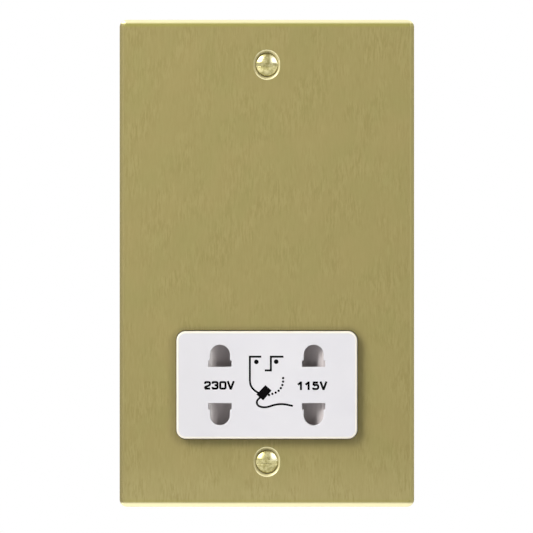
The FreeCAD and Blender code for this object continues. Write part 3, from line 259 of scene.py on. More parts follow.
def brushed_plate(look, sizes):
    """Brushed, lacquered metal with polished bevels and countersinks, partly painted highlights,
    and painted shade, light and shadow.
    """
    finish = Finish("brushed_plate", {"Specular IOR Level": 0.22})
    colour, streak, fine, blotch = plate_grain(finish, look, sizes)
    x = finish.axis("X")
    y = finish.axis("Y")
    z = finish.axis("Z")
    front = 1 - finish.between(y, -0.5 * MM, -0.3 * MM)
    # The edges: polished bevels at both ends, lightened as a painted highlight, the lower one
    # painted wider;
    # lacquer gathered beside them; painted shade on the left side and painted light on the right
    bevel = finish.between(abs(z - 0.14 * MM), PLATE_HIGH.z - 1.5 * MM, PLATE_HIGH.z - 0.7 * MM)
    bevel = bevel * (1 - finish.between(y, -1.2 * MM, -1.0 * MM))
    gather = finish.between(abs(z), PLATE_HIGH.z - 2.6 * MM, PLATE_HIGH.z - 1.7 * MM)
    # Masks for painted shade on the left edge and painted light on the right edge
    left = 1 - finish.between(x, PLATE_LOW.x + 0.2 * MM, PLATE_LOW.x + 2.0 * MM)
    right = finish.between(x, PLATE_HIGH.x - 1.5 * MM, PLATE_HIGH.x - 1.1 * MM)
    # The countersinks: their cone, and the polished ring round it, which runs onto the face as a
    # painted highlight and is painted fainter at its sides
    away = from_screw(finish, x, z)
    outside = finish.between(away, *SINK_INNER)
    sink = (1 - outside) * front
    ring = outside * (1 - finish.between(away, *SINK_OUTER)) * front
    ring = ring * (1 - finish.between(abs(x), 2.7 * MM, 3.6 * MM) * 0.55)
    polish_and_highlight = finish.maths("MAXIMUM", bevel, ring)
    # The lower part is brighter
    foot = finish.between(-1 * z, PLATE_HIGH.z - 20 * MM, PLATE_HIGH.z - 1 * MM)
    colour = finish.mix(foot * (0.35 + streak * 0.75), colour, look.plate_foot)
    colour = finish.mix(gather * (0.7 - foot * 0.35), colour, look.plate_lacquer)
    # Painted shadow round the insert, its cast shadow and contact shade, which reaches less far
    # above it
    beyond = beyond_insert(finish)
    above = finish.between(z, INSERT_MIDDLE.z + 14 * MM, INSERT_MIDDLE.z + 16.5 * MM)
    painted_shadow = (1 - finish.between(beyond, 0.0, 3.5 * MM - above * (1.1 * MM))) * 0.4
    painted_shadow = painted_shadow + (1 - finish.between(beyond, 0.1 * MM, 0.5 * MM)) * 0.35
    colour = finish.mix(painted_shadow, colour, look.plate_tarnish)
    colour = finish.mix(left, colour, look.plate_shade)
    colour = finish.mix(right * 0.52, colour, look.plate_rubbed)
    colour = finish.mix(sink * 0.42, colour, look.plate_polish)
    colour = finish.mix(polish_and_highlight, colour, look.plate_polish)
    rough = 0.42 + streak * 0.1 + blotch * 0.08
    rough = rough * (1 - polish_and_highlight) + polish_and_highlight * 0.28
    shine = 0.08 + bevel * 0.8 + sink * 0.5
    finish.set({"Metallic": shine})
    return finish.done(colour, rough, streak * (1 - polish_and_highlight) + fine * 0.3, 0.012, 0.6)


def from_screw(finish, x, z):
    """How far a point lies from the middle line of its oblong countersink."""
    reach = abs(abs(z) - middle_of("fixing_screw_top").z) - SINK_STRAIGHT * MM
    reach = finish.maths("MAXIMUM", reach, 0.0)
    return finish.maths("SQRT", reach * reach + x * x)


def beyond_insert(finish):
    """How far a point lies outside the insert's outline, and negative on the insert."""
    wide, tall, corner = FACE_SIZE
    across = finish.maths("MAXIMUM", abs(finish.axis("X")) - (wide / 2 - corner) * MM, 0.0)
    along = abs(finish.axis("Z") - INSERT_MIDDLE.z) - (tall / 2 - corner) * MM
    along = finish.maths("MAXIMUM", along, 0.0)
    return finish.maths("SQRT", across * across + along * along) - corner * MM


def polished_screw(look):
    """Bright yellow metal with fine turning marks and a painted highlight on its upper right."""
    finish = Finish("polished_screw", {"Metallic": 1.0})
    mottle = finish.noise((1.2, 1.2, 1.2), 3, 0.5)
    scratch = finish.noise((0.25, 1.5, 2.0), 2, 0.6)
    colour = finish.mix(finish.between(mottle, 0.35, 0.65), look.screw_dark, look.screw_light)
    z = finish.axis("Z")
    height = z - finish.maths("SIGN", z) * middle_of("fixing_screw_top").z
    # A painted highlight on the upper right of each head
    painted_highlight = finish.between(finish.axis("X"), 0.5 * MM, 1.7 * MM)
    painted_highlight = painted_highlight * finish.between(height, 0.1 * MM, 0.7 * MM)
    colour = finish.mix(painted_highlight, colour, look.screw_worn)
    return finish.done(colour, 0.22 + scratch * 0.12, scratch, 0.004, 0.5)


def plastic(name, colour, tint, texture):
    """Softly mottled plastic: its finish, its colour and the fine grain of its mould."""
    finish = Finish(name, {"IOR": 1.5})
    cloud = finish.noise((14, 14, 14), 2, 0.5)
    speck = finish.noise((texture, texture, texture), 3, 0.6)
    return finish, finish.mix(finish.between(cloud, 0.3, 0.7), colour, tint), speck


def moulded(name, colour, tint, rough, texture, depth):
    """Plastic whose tint shows in the grain of the mould too."""
    finish, mixed, speck = plastic(name, colour, tint, texture)
    mixed = finish.mix(finish.between(speck, 0.55, 0.8) * 0.25, mixed, tint)
    return finish.done(mixed, rough + speck * 0.12, speck, depth, 0.7)


def shutter_plastic(look):
    """Grey plastic with painted light on its left outer ramps and painted shade on its right ones.
    """
    finish, colour, speck = plastic("shutter_plastic", look.shutter_grey, look.shutter_tint, 0.4)
    x = finish.axis("X")
    colour = finish.mix(1 - finish.between(x, -17.2 * MM, -15.8 * MM), colour, look.shutter_pale)
    colour = finish.mix(finish.between(x, 15.6 * MM, 17.2 * MM), colour, look.shutter_dull)
    return finish.done(colour, 0.36 + speck * 0.12, speck, 0.008, 0.7)


def insert_plastic(look):
    """Glossy white plastic, with painted shade on its left and a painted warm reflection along its
    rim.
    """
    finish, colour, speck = plastic("insert_plastic", look.insert_white, look.insert_tint, 0.5)
    # Painted shade on the left side
    left_shade = 1 - finish.between(finish.axis("X"), -24 * MM, 2 * MM)
    colour = finish.mix(left_shade, colour, look.insert_aged)
    # The rim: a painted warm reflection of the plate along the insert's front edge
    rim = finish.between(beyond_insert(finish), -0.7 * MM, -0.5 * MM)
    depth = finish.axis("Y") - INSERT_LOW.y
    rim = rim * (1 - finish.between(depth, 0.25 * MM, 0.45 * MM))
    colour = finish.mix(rim, colour, look.insert_rim)
    return finish.done(colour, 0.26 + speck * 0.12, speck, 0.006, 0.7)


def metal(name, colour, stain, rough, size, depth=0.006):
    """Worked metal: drawn streaks, a little staining."""
    finish = Finish(name, {"Metallic": 1.0})
    streak = finish.noise(size, 3, 0.6)
    patch = finish.noise((2.4, 2.4, 2.4), 3, 0.55)
    mixed = finish.mix(finish.between(patch, 0.45, 0.75) * 0.7, colour, stain)
    return finish.done(mixed, rough + streak * 0.16, streak, depth, 0.6)


def lamination_steel(look):
    """Varnished core plates with a bluish oxide."""
    finish = Finish("lamination_steel", {"Metallic": 0.85})
    oxide = finish.noise((3, 0.5, 3), 3, 0.6)
    varnish = finish.noise((7, 7, 7), 2, 0.5)
    colour = finish.mix(finish.between(oxide, 0.35, 0.7), look.core_steel, look.core_oxide)
    colour = finish.mix(finish.between(varnish, 0.5, 0.75) * 0.5, colour, look.core_varnish)
    return finish.done(colour, 0.38 + oxide * 0.2, oxide, 0.01, 0.5)


def wound_copper(look):
    """Enamelled wire laid turn by turn, seen as fine ribs along Z."""
    constants = {"Metallic": 0.9, "Coat Weight": 0.6, "Coat Roughness": 0.1}
    finish = Finish("wound_copper", constants)
    pitch = 0.22 * MM
    turn = finish.axis("Z") * (2 * math.pi / pitch)
    rib = finish.maths("SINE", turn) * 0.5 + 0.5
    shade = finish.noise((6, 6, 0.5), 2, 0.5)
    colour = finish.mix(finish.between(shade, 0.3, 0.7), look.copper_dark, look.copper_light)
    # Painted shade in the grooves between the turns
    colour = finish.mix((1 - rib) * 0.55, colour, look.copper_gap)
    return finish.done(colour, 0.22 + shade * 0.15, rib, 0.08, 1.0)


def film_tape(look):
    """Polyester tape with overlapping turns and small wrinkles."""
    finish = Finish("film_tape", {"IOR": 1.55})
    lap = finish.noise((0.8, 0.8, 9), 2, 0.5)
    wrinkle = finish.noise((5, 5, 0.8), 3, 0.6)
    colour = finish.mix(finish.between(lap, 0.35, 0.65), look.tape_dark, look.tape_light)
    return finish.done(colour, 0.22 + wrinkle * 0.2, wrinkle * 0.6 + lap * 0.4, 0.05, 0.6)


def soft_insulation(name, colour, shade):
    """Extruded lead insulation with faint drag lines and dust."""
    finish = Finish(name, {"IOR": 1.52})
    drag = finish.noise((1.1, 1.1, 5), 2, 0.5)
    dust = finish.noise((0.5, 0.5, 0.5), 3, 0.6)
    mixed = finish.mix(finish.between(drag, 0.35, 0.7), colour, shade)
    return finish.done(mixed, 0.34 + dust * 0.18, drag * 0.7 + dust * 0.3, 0.015, 0.6)


def printed_ink(look):
    """Black pad-printed ink, a little uneven."""
    finish = Finish("printed_ink", {"IOR": 1.3, "Specular IOR Level": 0.03})
    film = finish.noise((0.4, 0.4, 0.4), 3, 0.6)
    colour = finish.mix(finish.between(film, 0.4, 0.8), look.ink, look.ink_thin)
    return finish.done(colour, 0.35 + film * 0.2, film, 0.004, 0.5)


def seen_directly(graph):
    """1 for what the camera, gloss or glass sees, 0 for what lights the object."""
    ray = graph.node("ShaderNodeLightPath", result="Is Camera Ray")
    seen = graph.maths("MAXIMUM", ray, ray.other("Is Glossy Ray"))
    return graph.maths("MAXIMUM", seen, ray.other("Is Transmission Ray"))


def pale_floor(look):
    """A pale, faintly mottled studio floor, which fades into the white around it."""
    finish = Finish("pale_floor", {"IOR": 1.4})
    cloud = finish.noise((90, 90, 90), 3, 0.5)
    colour = finish.mix(finish.between(cloud, 0.3, 0.7), look.floor, look.floor_shade)
    x = finish.axis("X")
    y = finish.axis("Y")
    far = finish.between(finish.maths("SQRT", x * x + y * y), 0.15, 0.7)
    glow = finish.mix(far, (0.3, 0.3, 0.3, 1), (1, 1, 1, 1))
    finish.set({"Base Color": colour, "Roughness": 0.75 + cloud * 0.15, "Emission Color": glow})
    finish.set({"Emission Strength": seen_directly(finish)})
    return finish.material


class GrowthTree(Graph):
    """A Geometry Nodes tree with named inputs, ending in instances of one material."""

    def __init__(self, name, sizes):
        super().__init__(bpy.data.node_groups.new(name, "GeometryNodeTree"))
        face = self.tree.interface
        face.new_socket("Geometry", in_out="INPUT", socket_type="NodeSocketGeometry")
        for label, kind in sizes.items():
            face.new_socket(label, in_out="INPUT", socket_type="NodeSocket" + kind)
        face.new_socket("Finish", in_out="INPUT", socket_type="NodeSocketMaterial")
        face.new_socket("Geometry", in_out="OUTPUT", socket_type="NodeSocketGeometry")
        self.start = self.node("NodeGroupInput")

    def size(self, name):
        return self.start.other(name)

    def end(self, points, shape):
        """Sets the shape on every point and makes it real geometry."""
        values = {"Points": points, "Instance": shape}
        spread = self.node("GeometryNodeInstanceOnPoints", None, values)
        real = self.node("GeometryNodeRealizeInstances", None, {0: spread})
        values = {"Geometry": real, "Material": self.size("Finish")}
        made = self.node("GeometryNodeSetMaterial", None, values)
        output = self.tree.nodes.new("NodeGroupOutput")
        self.feed(output.inputs[0], made)
        return self

    def join(self, *parts):
        joined = self.tree.nodes.new("GeometryNodeJoinGeometry")
        for part in parts:
            self.tree.links.new(part.socket, joined.inputs[0])
        return Channel(self, joined.outputs[0])

    def moved(self, geometry, offset=(0, 0, 0), turn=(0, 0, 0), scale=(1, 1, 1)):
        values = {0: geometry, "Translation": offset, "Rotation": turn, "Scale": scale}
        return self.node("GeometryNodeTransform", None, values)

    def place_at(self, x, y, z):
        return self.node("ShaderNodeCombineXYZ", None, {0: x, 1: y, 2: z})

    def cone(self, top, bottom, depth):
        values = {"Vertices": 40, "Radius Top": top, "Radius Bottom": bottom, "Depth": depth}
        return self.node("GeometryNodeMeshCone", None, values)


def added(name, data):
    """A new object in the scene."""
    made = bpy.data.objects.new(name, data)
    bpy.context.scene.collection.objects.link(made)
    return made


def evaluated_mesh(piece):
    """The plain mesh that a piece's modifiers make of it."""
    graph = bpy.context.evaluated_depsgraph_get()
    return bpy.data.meshes.new_from_object(piece.evaluated_get(graph))


def grown(name, tree, points, values):
    """The plain mesh piece that a tree grows from points or from a mesh."""
    base = points
    if isinstance(points, list):
        base = bpy.data.meshes.new(name + "_points")
        base.from_pydata(points, [], [])
    carrier = added(name + "_carrier", base)
    modifier = carrier.modifiers.new("growth", "NODES")
    modifier.node_group = tree.tree
    for item in tree.tree.interface.items_tree:
        if item.in_out == "INPUT" and item.name in values:
            modifier[item.identifier] = values[item.name]
    mesh = evaluated_mesh(carrier)
    bpy.data.objects.remove(carrier)
    mesh.name = name
    smooth(mesh)
    return added(name, mesh)


def threaded_rod_tree():
    """Rods along Y from each point: a plain neck, a thread and a tip."""
    sizes = dict.fromkeys(["Crest", "Root", "Length", "Neck", "Tip", "Pitch"], "Float")
    tree = GrowthTree("threaded_rod", sizes)
    crest, root, length, neck, tip, pitch = (tree.size(name) for name in sizes)
    run = length - neck - tip
    # A three-sided ridge stands 1.5 times its radius high
    ridge_r = (crest - root) / 1.5
    helix_r = crest - ridge_r
    values = {
        "Resolution": 20,
        "Rotations": run / pitch,
        "Start Radius": helix_r,
        "End Radius": helix_r,
        "Height": run,
    }
    spiral = tree.node("GeometryNodeCurveSpiral", None, values)
    share = tree.node("GeometryNodeSplineParameter", result="Factor")
    # The thread runs out over one part in 25 of its length at each end
    fade = tree.maths("MINIMUM", share * 25, (1 - share) * 25)
    fade = tree.maths("MINIMUM", fade, 1.0)
    spiral = tree.node("GeometryNodeSetCurveRadius", None, {"Curve": spiral, "Radius": fade})
    spiral = tree.node("GeometryNodeSetCurveNormal", {"mode": "Z_UP"}, {"Curve": spiral})
    values = {"Resolution": 3, "Radius": ridge_r}
    ridge = tree.node("GeometryNodeCurvePrimitiveCircle", None, values)
    values = {"Curve": spiral, "Profile Curve": ridge}
    thread = tree.node("GeometryNodeCurveToMesh", None, values)
    thread = tree.moved(thread, tree.place_at(0.0, 0.0, neck))
    straight = length - tip
    values = {"Vertices": 40, "Radius": root, "Depth": straight}
    core = tree.node("GeometryNodeMeshCylinder", None, values)
    core = tree.moved(core, tree.place_at(0.0, 0.0, straight * 0.5))
    collar = tree.cone(root, crest, neck)
    point = tree.moved(tree.cone(root * 0.7, root, tip), tree.place_at(0.0, 0.0, straight))
    rod = tree.moved(tree.join(thread, collar, core, point), turn=(-math.pi / 2, 0, 0))
    return tree.end(tree.start, rod)


def coil_spring_tree():
    """A compression spring along X with closed, flat ends."""
    sizes = dict.fromkeys(["Length", "Radius", "Wire", "Turns"], "Float")
    tree = GrowthTree("coil_spring", sizes)
    length, radius, wire, turns = (tree.size(name) for name in sizes)
    line = tree.node("GeometryNodeCurvePrimitiveLine")
    line = tree.node("GeometryNodeResampleCurve", None, {"Curve": line, "Count": 260})
    share = tree.node("GeometryNodeSplineParameter", result="Factor")
    angle = share * turns * (2 * math.pi)
    shut = 1 / turns
    values = {"Value": share, "From Min": shut, "From Max": 1 - shut}
    rise = tree.node("ShaderNodeMapRange", None, values)
    lead_in = tree.maths("MINIMUM", share / shut, 1.0)
    lead_out = tree.maths("MAXIMUM", (share - 1) / shut + 1, 0.0)
    # Each closed end takes one wire's width, and the open turns rise between them
    x = wire * 0.5 + (lead_in + lead_out) * wire + rise * (length - wire * 3)
    radius = radius - wire * 0.5
    y = tree.maths("COSINE", angle) * radius
    z = tree.maths("SINE", angle) * radius
    coil = tree.node("GeometryNodeSetPosition", None, {0: line, "Position": tree.place_at(x, y, z)})
    values = {"Resolution": 10, "Radius": wire * 0.5}
    ring = tree.node("GeometryNodeCurvePrimitiveCircle", None, values)
    values = {"Curve": coil, "Profile Curve": ring, "Fill Caps": True}
    return tree.end(tree.start, tree.node("GeometryNodeCurveToMesh", None, values))


def dot_row_tree():
    """Round dots spread along a line of points, facing the front."""
    tree = GrowthTree("dot_row", {"Count": "Int", "Radius": "Float", "Thickness": "Float"})
    path = tree.node("GeometryNodeMeshToCurve", None, {0: tree.start})
    spots = tree.node("GeometryNodeCurveToPoints", None, {0: path, "Count": tree.size("Count")})
    values = {"Vertices": 20, "Radius": tree.size("Radius"), "Depth": tree.size("Thickness")}
    dot = tree.node("GeometryNodeMeshCylinder", None, values)
    return tree.end(spots, tree.moved(dot, turn=(math.pi / 2, 0, 0)))


def lamination_tree():
    """Thin plates, stacked along Y, all cut like the mesh they start from."""
    sizes = {"Count": "Int", "Front": "Float", "Back": "Float", "Gap": "Float"}
    tree = GrowthTree("laminations", sizes)
    count, front, back, gap = (tree.size(name) for name in sizes)
    depth = back - front
    pitch = depth / count
    thin = (pitch - gap) / depth
    plate = tree.moved(tree.start, tree.place_at(0.0, front * -1, 0.0))
    plate = tree.moved(plate, scale=tree.place_at(1.0, thin, 1.0))
    first = tree.place_at(0.0, front + gap * 0.5, 0.0)
    step = tree.place_at(0.0, pitch, 0.0)
    values = {"Count": count, "Start Location": first, "Offset": step}
    return tree.end(tree.node("GeometryNodeMeshLine", None, values), plate)


def smooth(mesh):
    mesh.shade_smooth()
    mesh.set_sharp_from_angle(angle=math.radians(SHARP_TURN))


def merged_copy(node, keep=None):
    """A welded copy of a CAD node's mesh, without the corners that keep refuses."""
    source = frame["nodes"][node].data
    mesh = bpy.data.meshes.new(node + "_copy")
    corners = [vert.co.copy() for vert in source.vertices]
    mesh.from_pydata(corners, [], [list(face.vertices) for face in source.polygons])
    work = bmesh.new()
    work.from_mesh(mesh)
    bmesh.ops.remove_doubles(work, verts=work.verts, dist=WELD)
    bmesh.ops.dissolve_degenerate(work, edges=work.edges, dist=WELD / 2)
    if keep:
        gone = [vert for vert in work.verts if not keep(vert.co)]
        bmesh.ops.delete(work, geom=gone, context="VERTS")
        bmesh.ops.holes_fill(work, edges=[edge for edge in work.edges if edge.is_boundary])
    bmesh.ops.dissolve_limit(
        work,
        angle_limit=math.radians(FLAT_TURN),
        use_dissolve_boundaries=False,
        verts=work.verts,
        edges=work.edges,
    )
    work.to_mesh(mesh)
    work.free()
    return mesh


def softened(name, node, material, width, segments=2, keep=None, body="socket"):
    """A copy of a CAD node with its sharp edges rounded, in the node's place."""
    carrier = added(name + "_carrier", merged_copy(node, keep))
    bevel = carrier.modifiers.new("edges", "BEVEL")
    bevel.width = width * MM
    bevel.segments = segments
    bevel.limit_method = "ANGLE"
    bevel.angle_limit = math.radians(ROUNDED_TURN)
    bevel.use_clamp_overlap = False
    bevel.miter_outer = "MITER_ARC"
    finished = evaluated_mesh(carrier)
    bpy.data.objects.remove(carrier)
    fill_flats(finished)
    finished.materials.clear()
    finished.materials.append(material)
    smooth(finished)
    piece = added(name, finished)
    settle(piece)
    seat(piece, body, node)


def fill_flats(mesh):
    """Fills every flat area afresh inside its rim, so that it goes cleanly round its holes."""
    work = bmesh.new()
    work.from_mesh(mesh)
    waiting = {face for face in work.faces if len(face.verts) > 4}
    while waiting:
        area = flat_area(waiting.pop())
        waiting -= area
        normal = max(area, key=lambda face: face.calc_area()).normal.copy()
        edges = {edge for face in area for edge in face.edges}
        inner = {edge for edge in edges if sum(face in area for face in edge.link_faces) > 1}
        rim = sorted(edges - inner, key=lambda edge: edge.index)
        bmesh.ops.delete(work, geom=list(area), context="FACES_ONLY")
        bmesh.ops.delete(work, geom=list(inner), context="EDGES_FACES")
        made = bmesh.ops.triangle_fill(
            work, use_beauty=True, use_dissolve=False, edges=rim, normal=normal
        )
        for face in made["geom"]:
            if isinstance(face, bmesh.types.BMFace):
                face.normal_update()
                if face.normal.dot(normal) < 0:
                    face.normal_flip()
    loose = [vert for vert in work.verts if not vert.link_faces]
    bmesh.ops.delete(work, geom=loose, context="VERTS")
    work.to_mesh(mesh)
    work.free()


def flat_area(start):
    """One face and the faces round it that lie in its plane."""
    area = {start}
    ahead = [start]
    while ahead:
        for edge in ahead.pop().edges:
            for near in edge.link_faces:
                if near not in area and near.normal.dot(start.normal) > SAME_PLANE:
                    area.add(near)
                    ahead.append(near)
    return area


def settle(piece):
    """Lets the large faces of a piece set its shading, so that they look flat."""
    lean = piece.modifiers.new("flat", "WEIGHTED_NORMAL")
    lean.keep_sharp = True
    lean.weight = 80
    mesh = evaluated_mesh(piece)
    piece.modifiers.clear()
    piece.data = mesh


def seat(piece, body, *nodes, slot=None):
    """Ties a piece to its body and hides its CAD nodes; the material slot is not used."""
    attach(piece, body)
    if nodes:
        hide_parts(*nodes)


def slot_of(node):
    """The record's material slot of a CAD node."""
    for row in frame["record"]["subparts"]:
        if row["node"] == node:
            return row["material_slot"]
    raise ValueError("no material slot holds " + node)


def dress(node, material):
    """Gives a CAD node that keeps its shape a procedural material."""
    shown = frame["nodes"][node]
    for holder in shown.material_slots:
        holder.material = material
    if not shown.material_slots:
        shown.data.materials.append(material)


def flat_mesh(name, shapes, thickness, face_y):
    """Flat shapes, drawn as corners in X and Z, made into one thin raised mesh."""
    work = bmesh.new()
    for corners, faces in shapes:
        verts = [work.verts.new((x, face_y - thickness, z)) for x, z in corners]
        for face in faces:
            work.faces.new([verts[i] for i in face])
    bmesh.ops.recalc_face_normals(work, faces=work.faces)
    for face in work.faces:
        if face.normal.y > 0:
            face.normal_flip()
    made = bmesh.ops.extrude_face_region(work, geom=list(work.faces))
    front = [item for item in made["geom"] if isinstance(item, bmesh.types.BMVert)]
    bmesh.ops.translate(work, verts=front, vec=(0, thickness, 0))
    bmesh.ops.recalc_face_normals(work, faces=work.faces)
    mesh = bpy.data.meshes.new(name)
    work.to_mesh(mesh)
    work.free()
    return mesh


def ribbon(points, width):
    """A flat line of even width with mitred corners: its corners and its faces."""
    flat = [Vector(point) for point in points]
    left = []
    right = []
    for i, here in enumerate(flat):
        before = (here - flat[i - 1]).normalized() if i else None
        after = (flat[i + 1] - here).normalized() if i + 1 < len(flat) else None
        way_in = before or after
        way_out = after or before
        lean = (way_in + way_out).normalized()
        across = Vector((-lean.y, lean.x))
        # A mitre reaches no further than two and a half times the half width
        half = width / 2 / max(lean.dot(way_out), 0.4)
        left.append(tuple(here + across * half))
        right.append(tuple(here - across * half))
    last = 2 * len(flat) - 1
    return left + right[::-1], [(i, i + 1, last - i - 1, last - i) for i in range(len(flat) - 1)]


def eased(points, rounds=3):
    """A smooth line inside the corners of a rough one."""
    line = [Vector(point) for point in points]
    for _ in range(rounds):
        cut = [line[0]]
        for first, second in zip(line, line[1:]):
            cut.append(first.lerp(second, 0.25))
            cut.append(first.lerp(second, 0.75))
        line = cut + [line[-1]]
    return [tuple(point) for point in line]


def rounded_line(points, radius, steps=5):
    """A line whose inner corners are rounded."""
    flat = [Vector(point) for point in points]
    line = [flat[0]]
    for before, corner, after in zip(flat, flat[1:], flat[2:]):
        reach = min(radius, (corner - before).length / 2, (after - corner).length / 2)
        first = corner + (before - corner).normalized() * reach
        last = corner + (after - corner).normalized() * reach
        for i in range(steps + 1 if radius else 1):
            share = i / steps
            line.append(first.lerp(corner, share).lerp(corner.lerp(last, share), share))
    return [tuple(point) for point in line + [flat[-1]]]


def patch(corners):
    """A flat shape with one face."""
    return corners, [tuple(range(len(corners)))]


def disc(x, z, radius, count=24):
    corners = []
    for i in range(count):
        angle = 2 * math.pi * i / count
        corners.append((x + radius * math.cos(angle), z + radius * math.sin(angle)))
    return patch(corners)


class ShaverSocketLook(bpy.types.PropertyGroup):
    """Colours of the socket's finishes."""


class ShaverSocketSizes(bpy.types.PropertyGroup):
    """Sizes of the details that only the looks have."""


class ShaverSocketStage(bpy.types.PropertyGroup):
    """Camera, lamps and floor."""


def colour_value(name, about, default):
    return bpy.props.FloatVectorProperty(
        name=name, description=about, default=default, size=4, min=0.0, max=1.0, subtype="COLOR"
    )


def plain_value(name, about, default, unit="NONE"):
    return bpy.props.FloatProperty(
        name=name, description=about, default=default, unit=unit, precision=4
    )


LOOK_VALUES = {
    "plate_light": ("Plate grain, light", "Lighter streaks of the face", tone(161, 149, 96)),
    "plate_dark": ("Plate grain, dark", "Darker streaks of the face", tone(149, 137, 84)),
    "plate_green": ("Plate, green patches", "Slightly greener patches", tone(151, 144, 88)),
    "plate_red": ("Plate, red patches", "Slightly redder patches", tone(161, 146, 94)),
    "plate_lacquer": ("Plate, lacquer", "Lacquer gathered along the ends", tone(158, 152, 78)),
    "plate_foot": ("Plate, foot", "Brighter towards the bottom", tone(168, 156, 104)),
    # The next colour paints the insert's shadow on the plate
    "plate_tarnish": ("Plate, tarnish", "Tarnish close round the insert", tone(96, 88, 56)),
    # Painted shade on the left edge, then painted light on the right edge
    "plate_shade": ("Plate, shade", "Duller left edge", tone(129, 119, 76)),
    "plate_rubbed": ("Plate, rubbed", "Brighter right edge", tone(206, 194, 128)),
    # Polished bevels and countersinks, lightened further as painted highlights
    "plate_polish": ("Plate, polished", "Polished bevels and countersinks", tone(246, 238, 190)),
    "screw_light": ("Screw, light", "Bright parts of the fixing screws", tone(193, 185, 136)),
    "screw_dark": ("Screw, dark", "Duller parts of the fixing screws", tone(155, 147, 97)),
    # A painted highlight on the upper right of the screw heads
    "screw_worn": ("Screw, worn", "Brighter side of the fixing screws", tone(218, 212, 176)),
    "insert_white": ("Insert", "White insert", tone(230, 228, 230)),
    "insert_tint": ("Insert, tint", "Slow mottling of the insert", tone(227, 225, 228)),
    # Painted shade on the insert's left side
    "insert_aged": ("Insert, aged", "Slightly duller left side", tone(224, 222, 224)),
    # A painted warm reflection along the insert's rim
    "insert_rim": ("Insert, rim", "Warmer rim of the insert", tone(252, 245, 228)),
    "shutter_grey": ("Shutter", "Grey shutter slide", tone(232, 223, 220)),
    "shutter_tint": ("Shutter, tint", "Slow mottling of the shutter", tone(222, 213, 211)),
    # Painted light on the left outer ramps, then painted shade on the right ones
    "shutter_pale": ("Shutter, pale", "Left outer ramps, polished by pins", tone(252, 246, 242)),
    "shutter_dull": ("Shutter, dull", "Right outer ramps", tone(202, 193, 191)),
    "case_black": ("Case", "Black chassis and cover", tone(34, 34, 36)),
    "case_tint": ("Case, tint", "Slow mottling of the case", tone(44, 44, 46)),
    "ink": ("Ink", "Printed markings", tone(10, 9, 10)),
    "ink_thin": ("Ink, thin", "Where the printed ink is thin", tone(24, 23, 24)),
    "spring_steel": ("Spring steel", "Centring springs", tone(176, 178, 182)),
    "spring_stain": ("Spring steel, stain", "Darker patches of the springs", tone(128, 126, 124)),
    "brass": ("Brass", "Contacts, links and terminals", tone(214, 178, 104)),
    "brass_stain": ("Brass, stain", "Tarnish on the brass", tone(168, 128, 70)),
    "zinc": ("Zinc", "Zinc-plated screws, nuts and washers", tone(196, 200, 206)),
    "zinc_stain": ("Zinc, stain", "Yellowish patches of the zinc", tone(168, 166, 150)),
    "tin": ("Tin", "Tinned pins", tone(210, 210, 208)),
    "tin_stain": ("Tin, stain", "Dull patches of the tin", tone(160, 158, 154)),
    "core_steel": ("Core steel", "Transformer core plates", tone(132, 134, 140)),
    "core_oxide": ("Core oxide", "Bluish oxide on the core", tone(88, 94, 108)),
    "core_varnish": ("Core varnish", "Amber varnish on the core", tone(120, 98, 66)),
    "copper_light": ("Copper, light", "Enamelled wire, bright", tone(204, 118, 66)),
    "copper_dark": ("Copper, dark", "Enamelled wire, dark", tone(164, 82, 42)),
    # Painted shade between the turns of wire
    "copper_gap": ("Copper, gaps", "Between the turns of wire", tone(70, 30, 18)),
    "tape_light": ("Tape, light", "Yellow polyester tape", tone(232, 196, 60)),
    "tape_dark": ("Tape, dark", "Where the tape overlaps", tone(212, 168, 40)),
    "nylon": ("Nylon", "Bobbin", tone(224, 218, 200)),
    "nylon_tint": ("Nylon, tint", "Slow mottling of the bobbin", tone(212, 204, 184)),
    "cutout": ("Cut-out", "Case of the thermal cut-out", tone(222, 222, 216)),
    "cutout_tint": ("Cut-out, tint", "Slow mottling of the cut-out", tone(206, 206, 198)),
    "brown_lead": ("Brown lead", "Line, switched and primary leads", tone(104, 60, 36)),
    "blue_lead": ("Blue lead", "Neutral lead", tone(38, 84, 158)),
    "red_lead": ("Red lead", "Lead of the 230 V contact", tone(176, 34, 30)),
    "yellow_lead": ("Yellow lead", "Lead of the 115 V contact", tone(226, 188, 44)),
    "grey_lead": ("Grey lead", "Lead of the common contact", tone(128, 130, 134)),
    "floor": ("Floor", "Pale floor", tone(236, 236, 238)),
    "floor_shade": ("Floor, shade", "Slow mottling of the floor", tone(233, 233, 235)),
}
for key, (label, about, default) in LOOK_VALUES.items():
    ShaverSocketLook.__annotations__[key] = colour_value(label, about, default)

SIZE_VALUES = {
    "grain_width": ("Grain width", "Width of a streak on the plate, in millimetres", 0.55),
    "grain_length": ("Grain length", "Length of a streak on the plate, in millimetres", 3.4),
    "plate_edge": ("Plate edge", "Rounding of the plate's cut edges, in millimetres", 0.12),
    "insert_edge": ("Insert edge", "Rounding of the pin openings, in millimetres", 0.18),
    "case_edge": ("Case edge", "Rounding of the moulded case, in millimetres", 0.25),
    "metal_edge": ("Metal edge", "Rounding of stamped and turned parts, in millimetres", 0.07),
    "stud_pitch": ("Stud pitch", "Thread pitch of the studs, in millimetres", 0.5),
    "screw_pitch": ("Screw pitch", "Thread pitch of the fixing screws, in millimetres", 0.6),
    "spring_turns": ("Spring turns", "Turns of a centring spring, ends included", 8.0),
    "word_width": ("Word width", "Width of each voltage, in millimetres", 9.2),
    "word_height": ("Word height", "Height of each voltage, in millimetres", 2.6),
    "letter_width": ("Letter stroke", "Width of a letter's stroke, in millimetres", 0.64),
    "line_width": ("Line width", "Width of the printed lines, in millimetres", 0.6),
    "ink_depth": ("Ink depth", "Thickness of the printed ink, in millimetres", 0.012),
    "plate_count": ("Core plates", "How many plates the core stack shows", 34.0),
}
for key, (label, about, default) in SIZE_VALUES.items():
    ShaverSocketSizes.__annotations__[key] = plain_value(label, about, default)

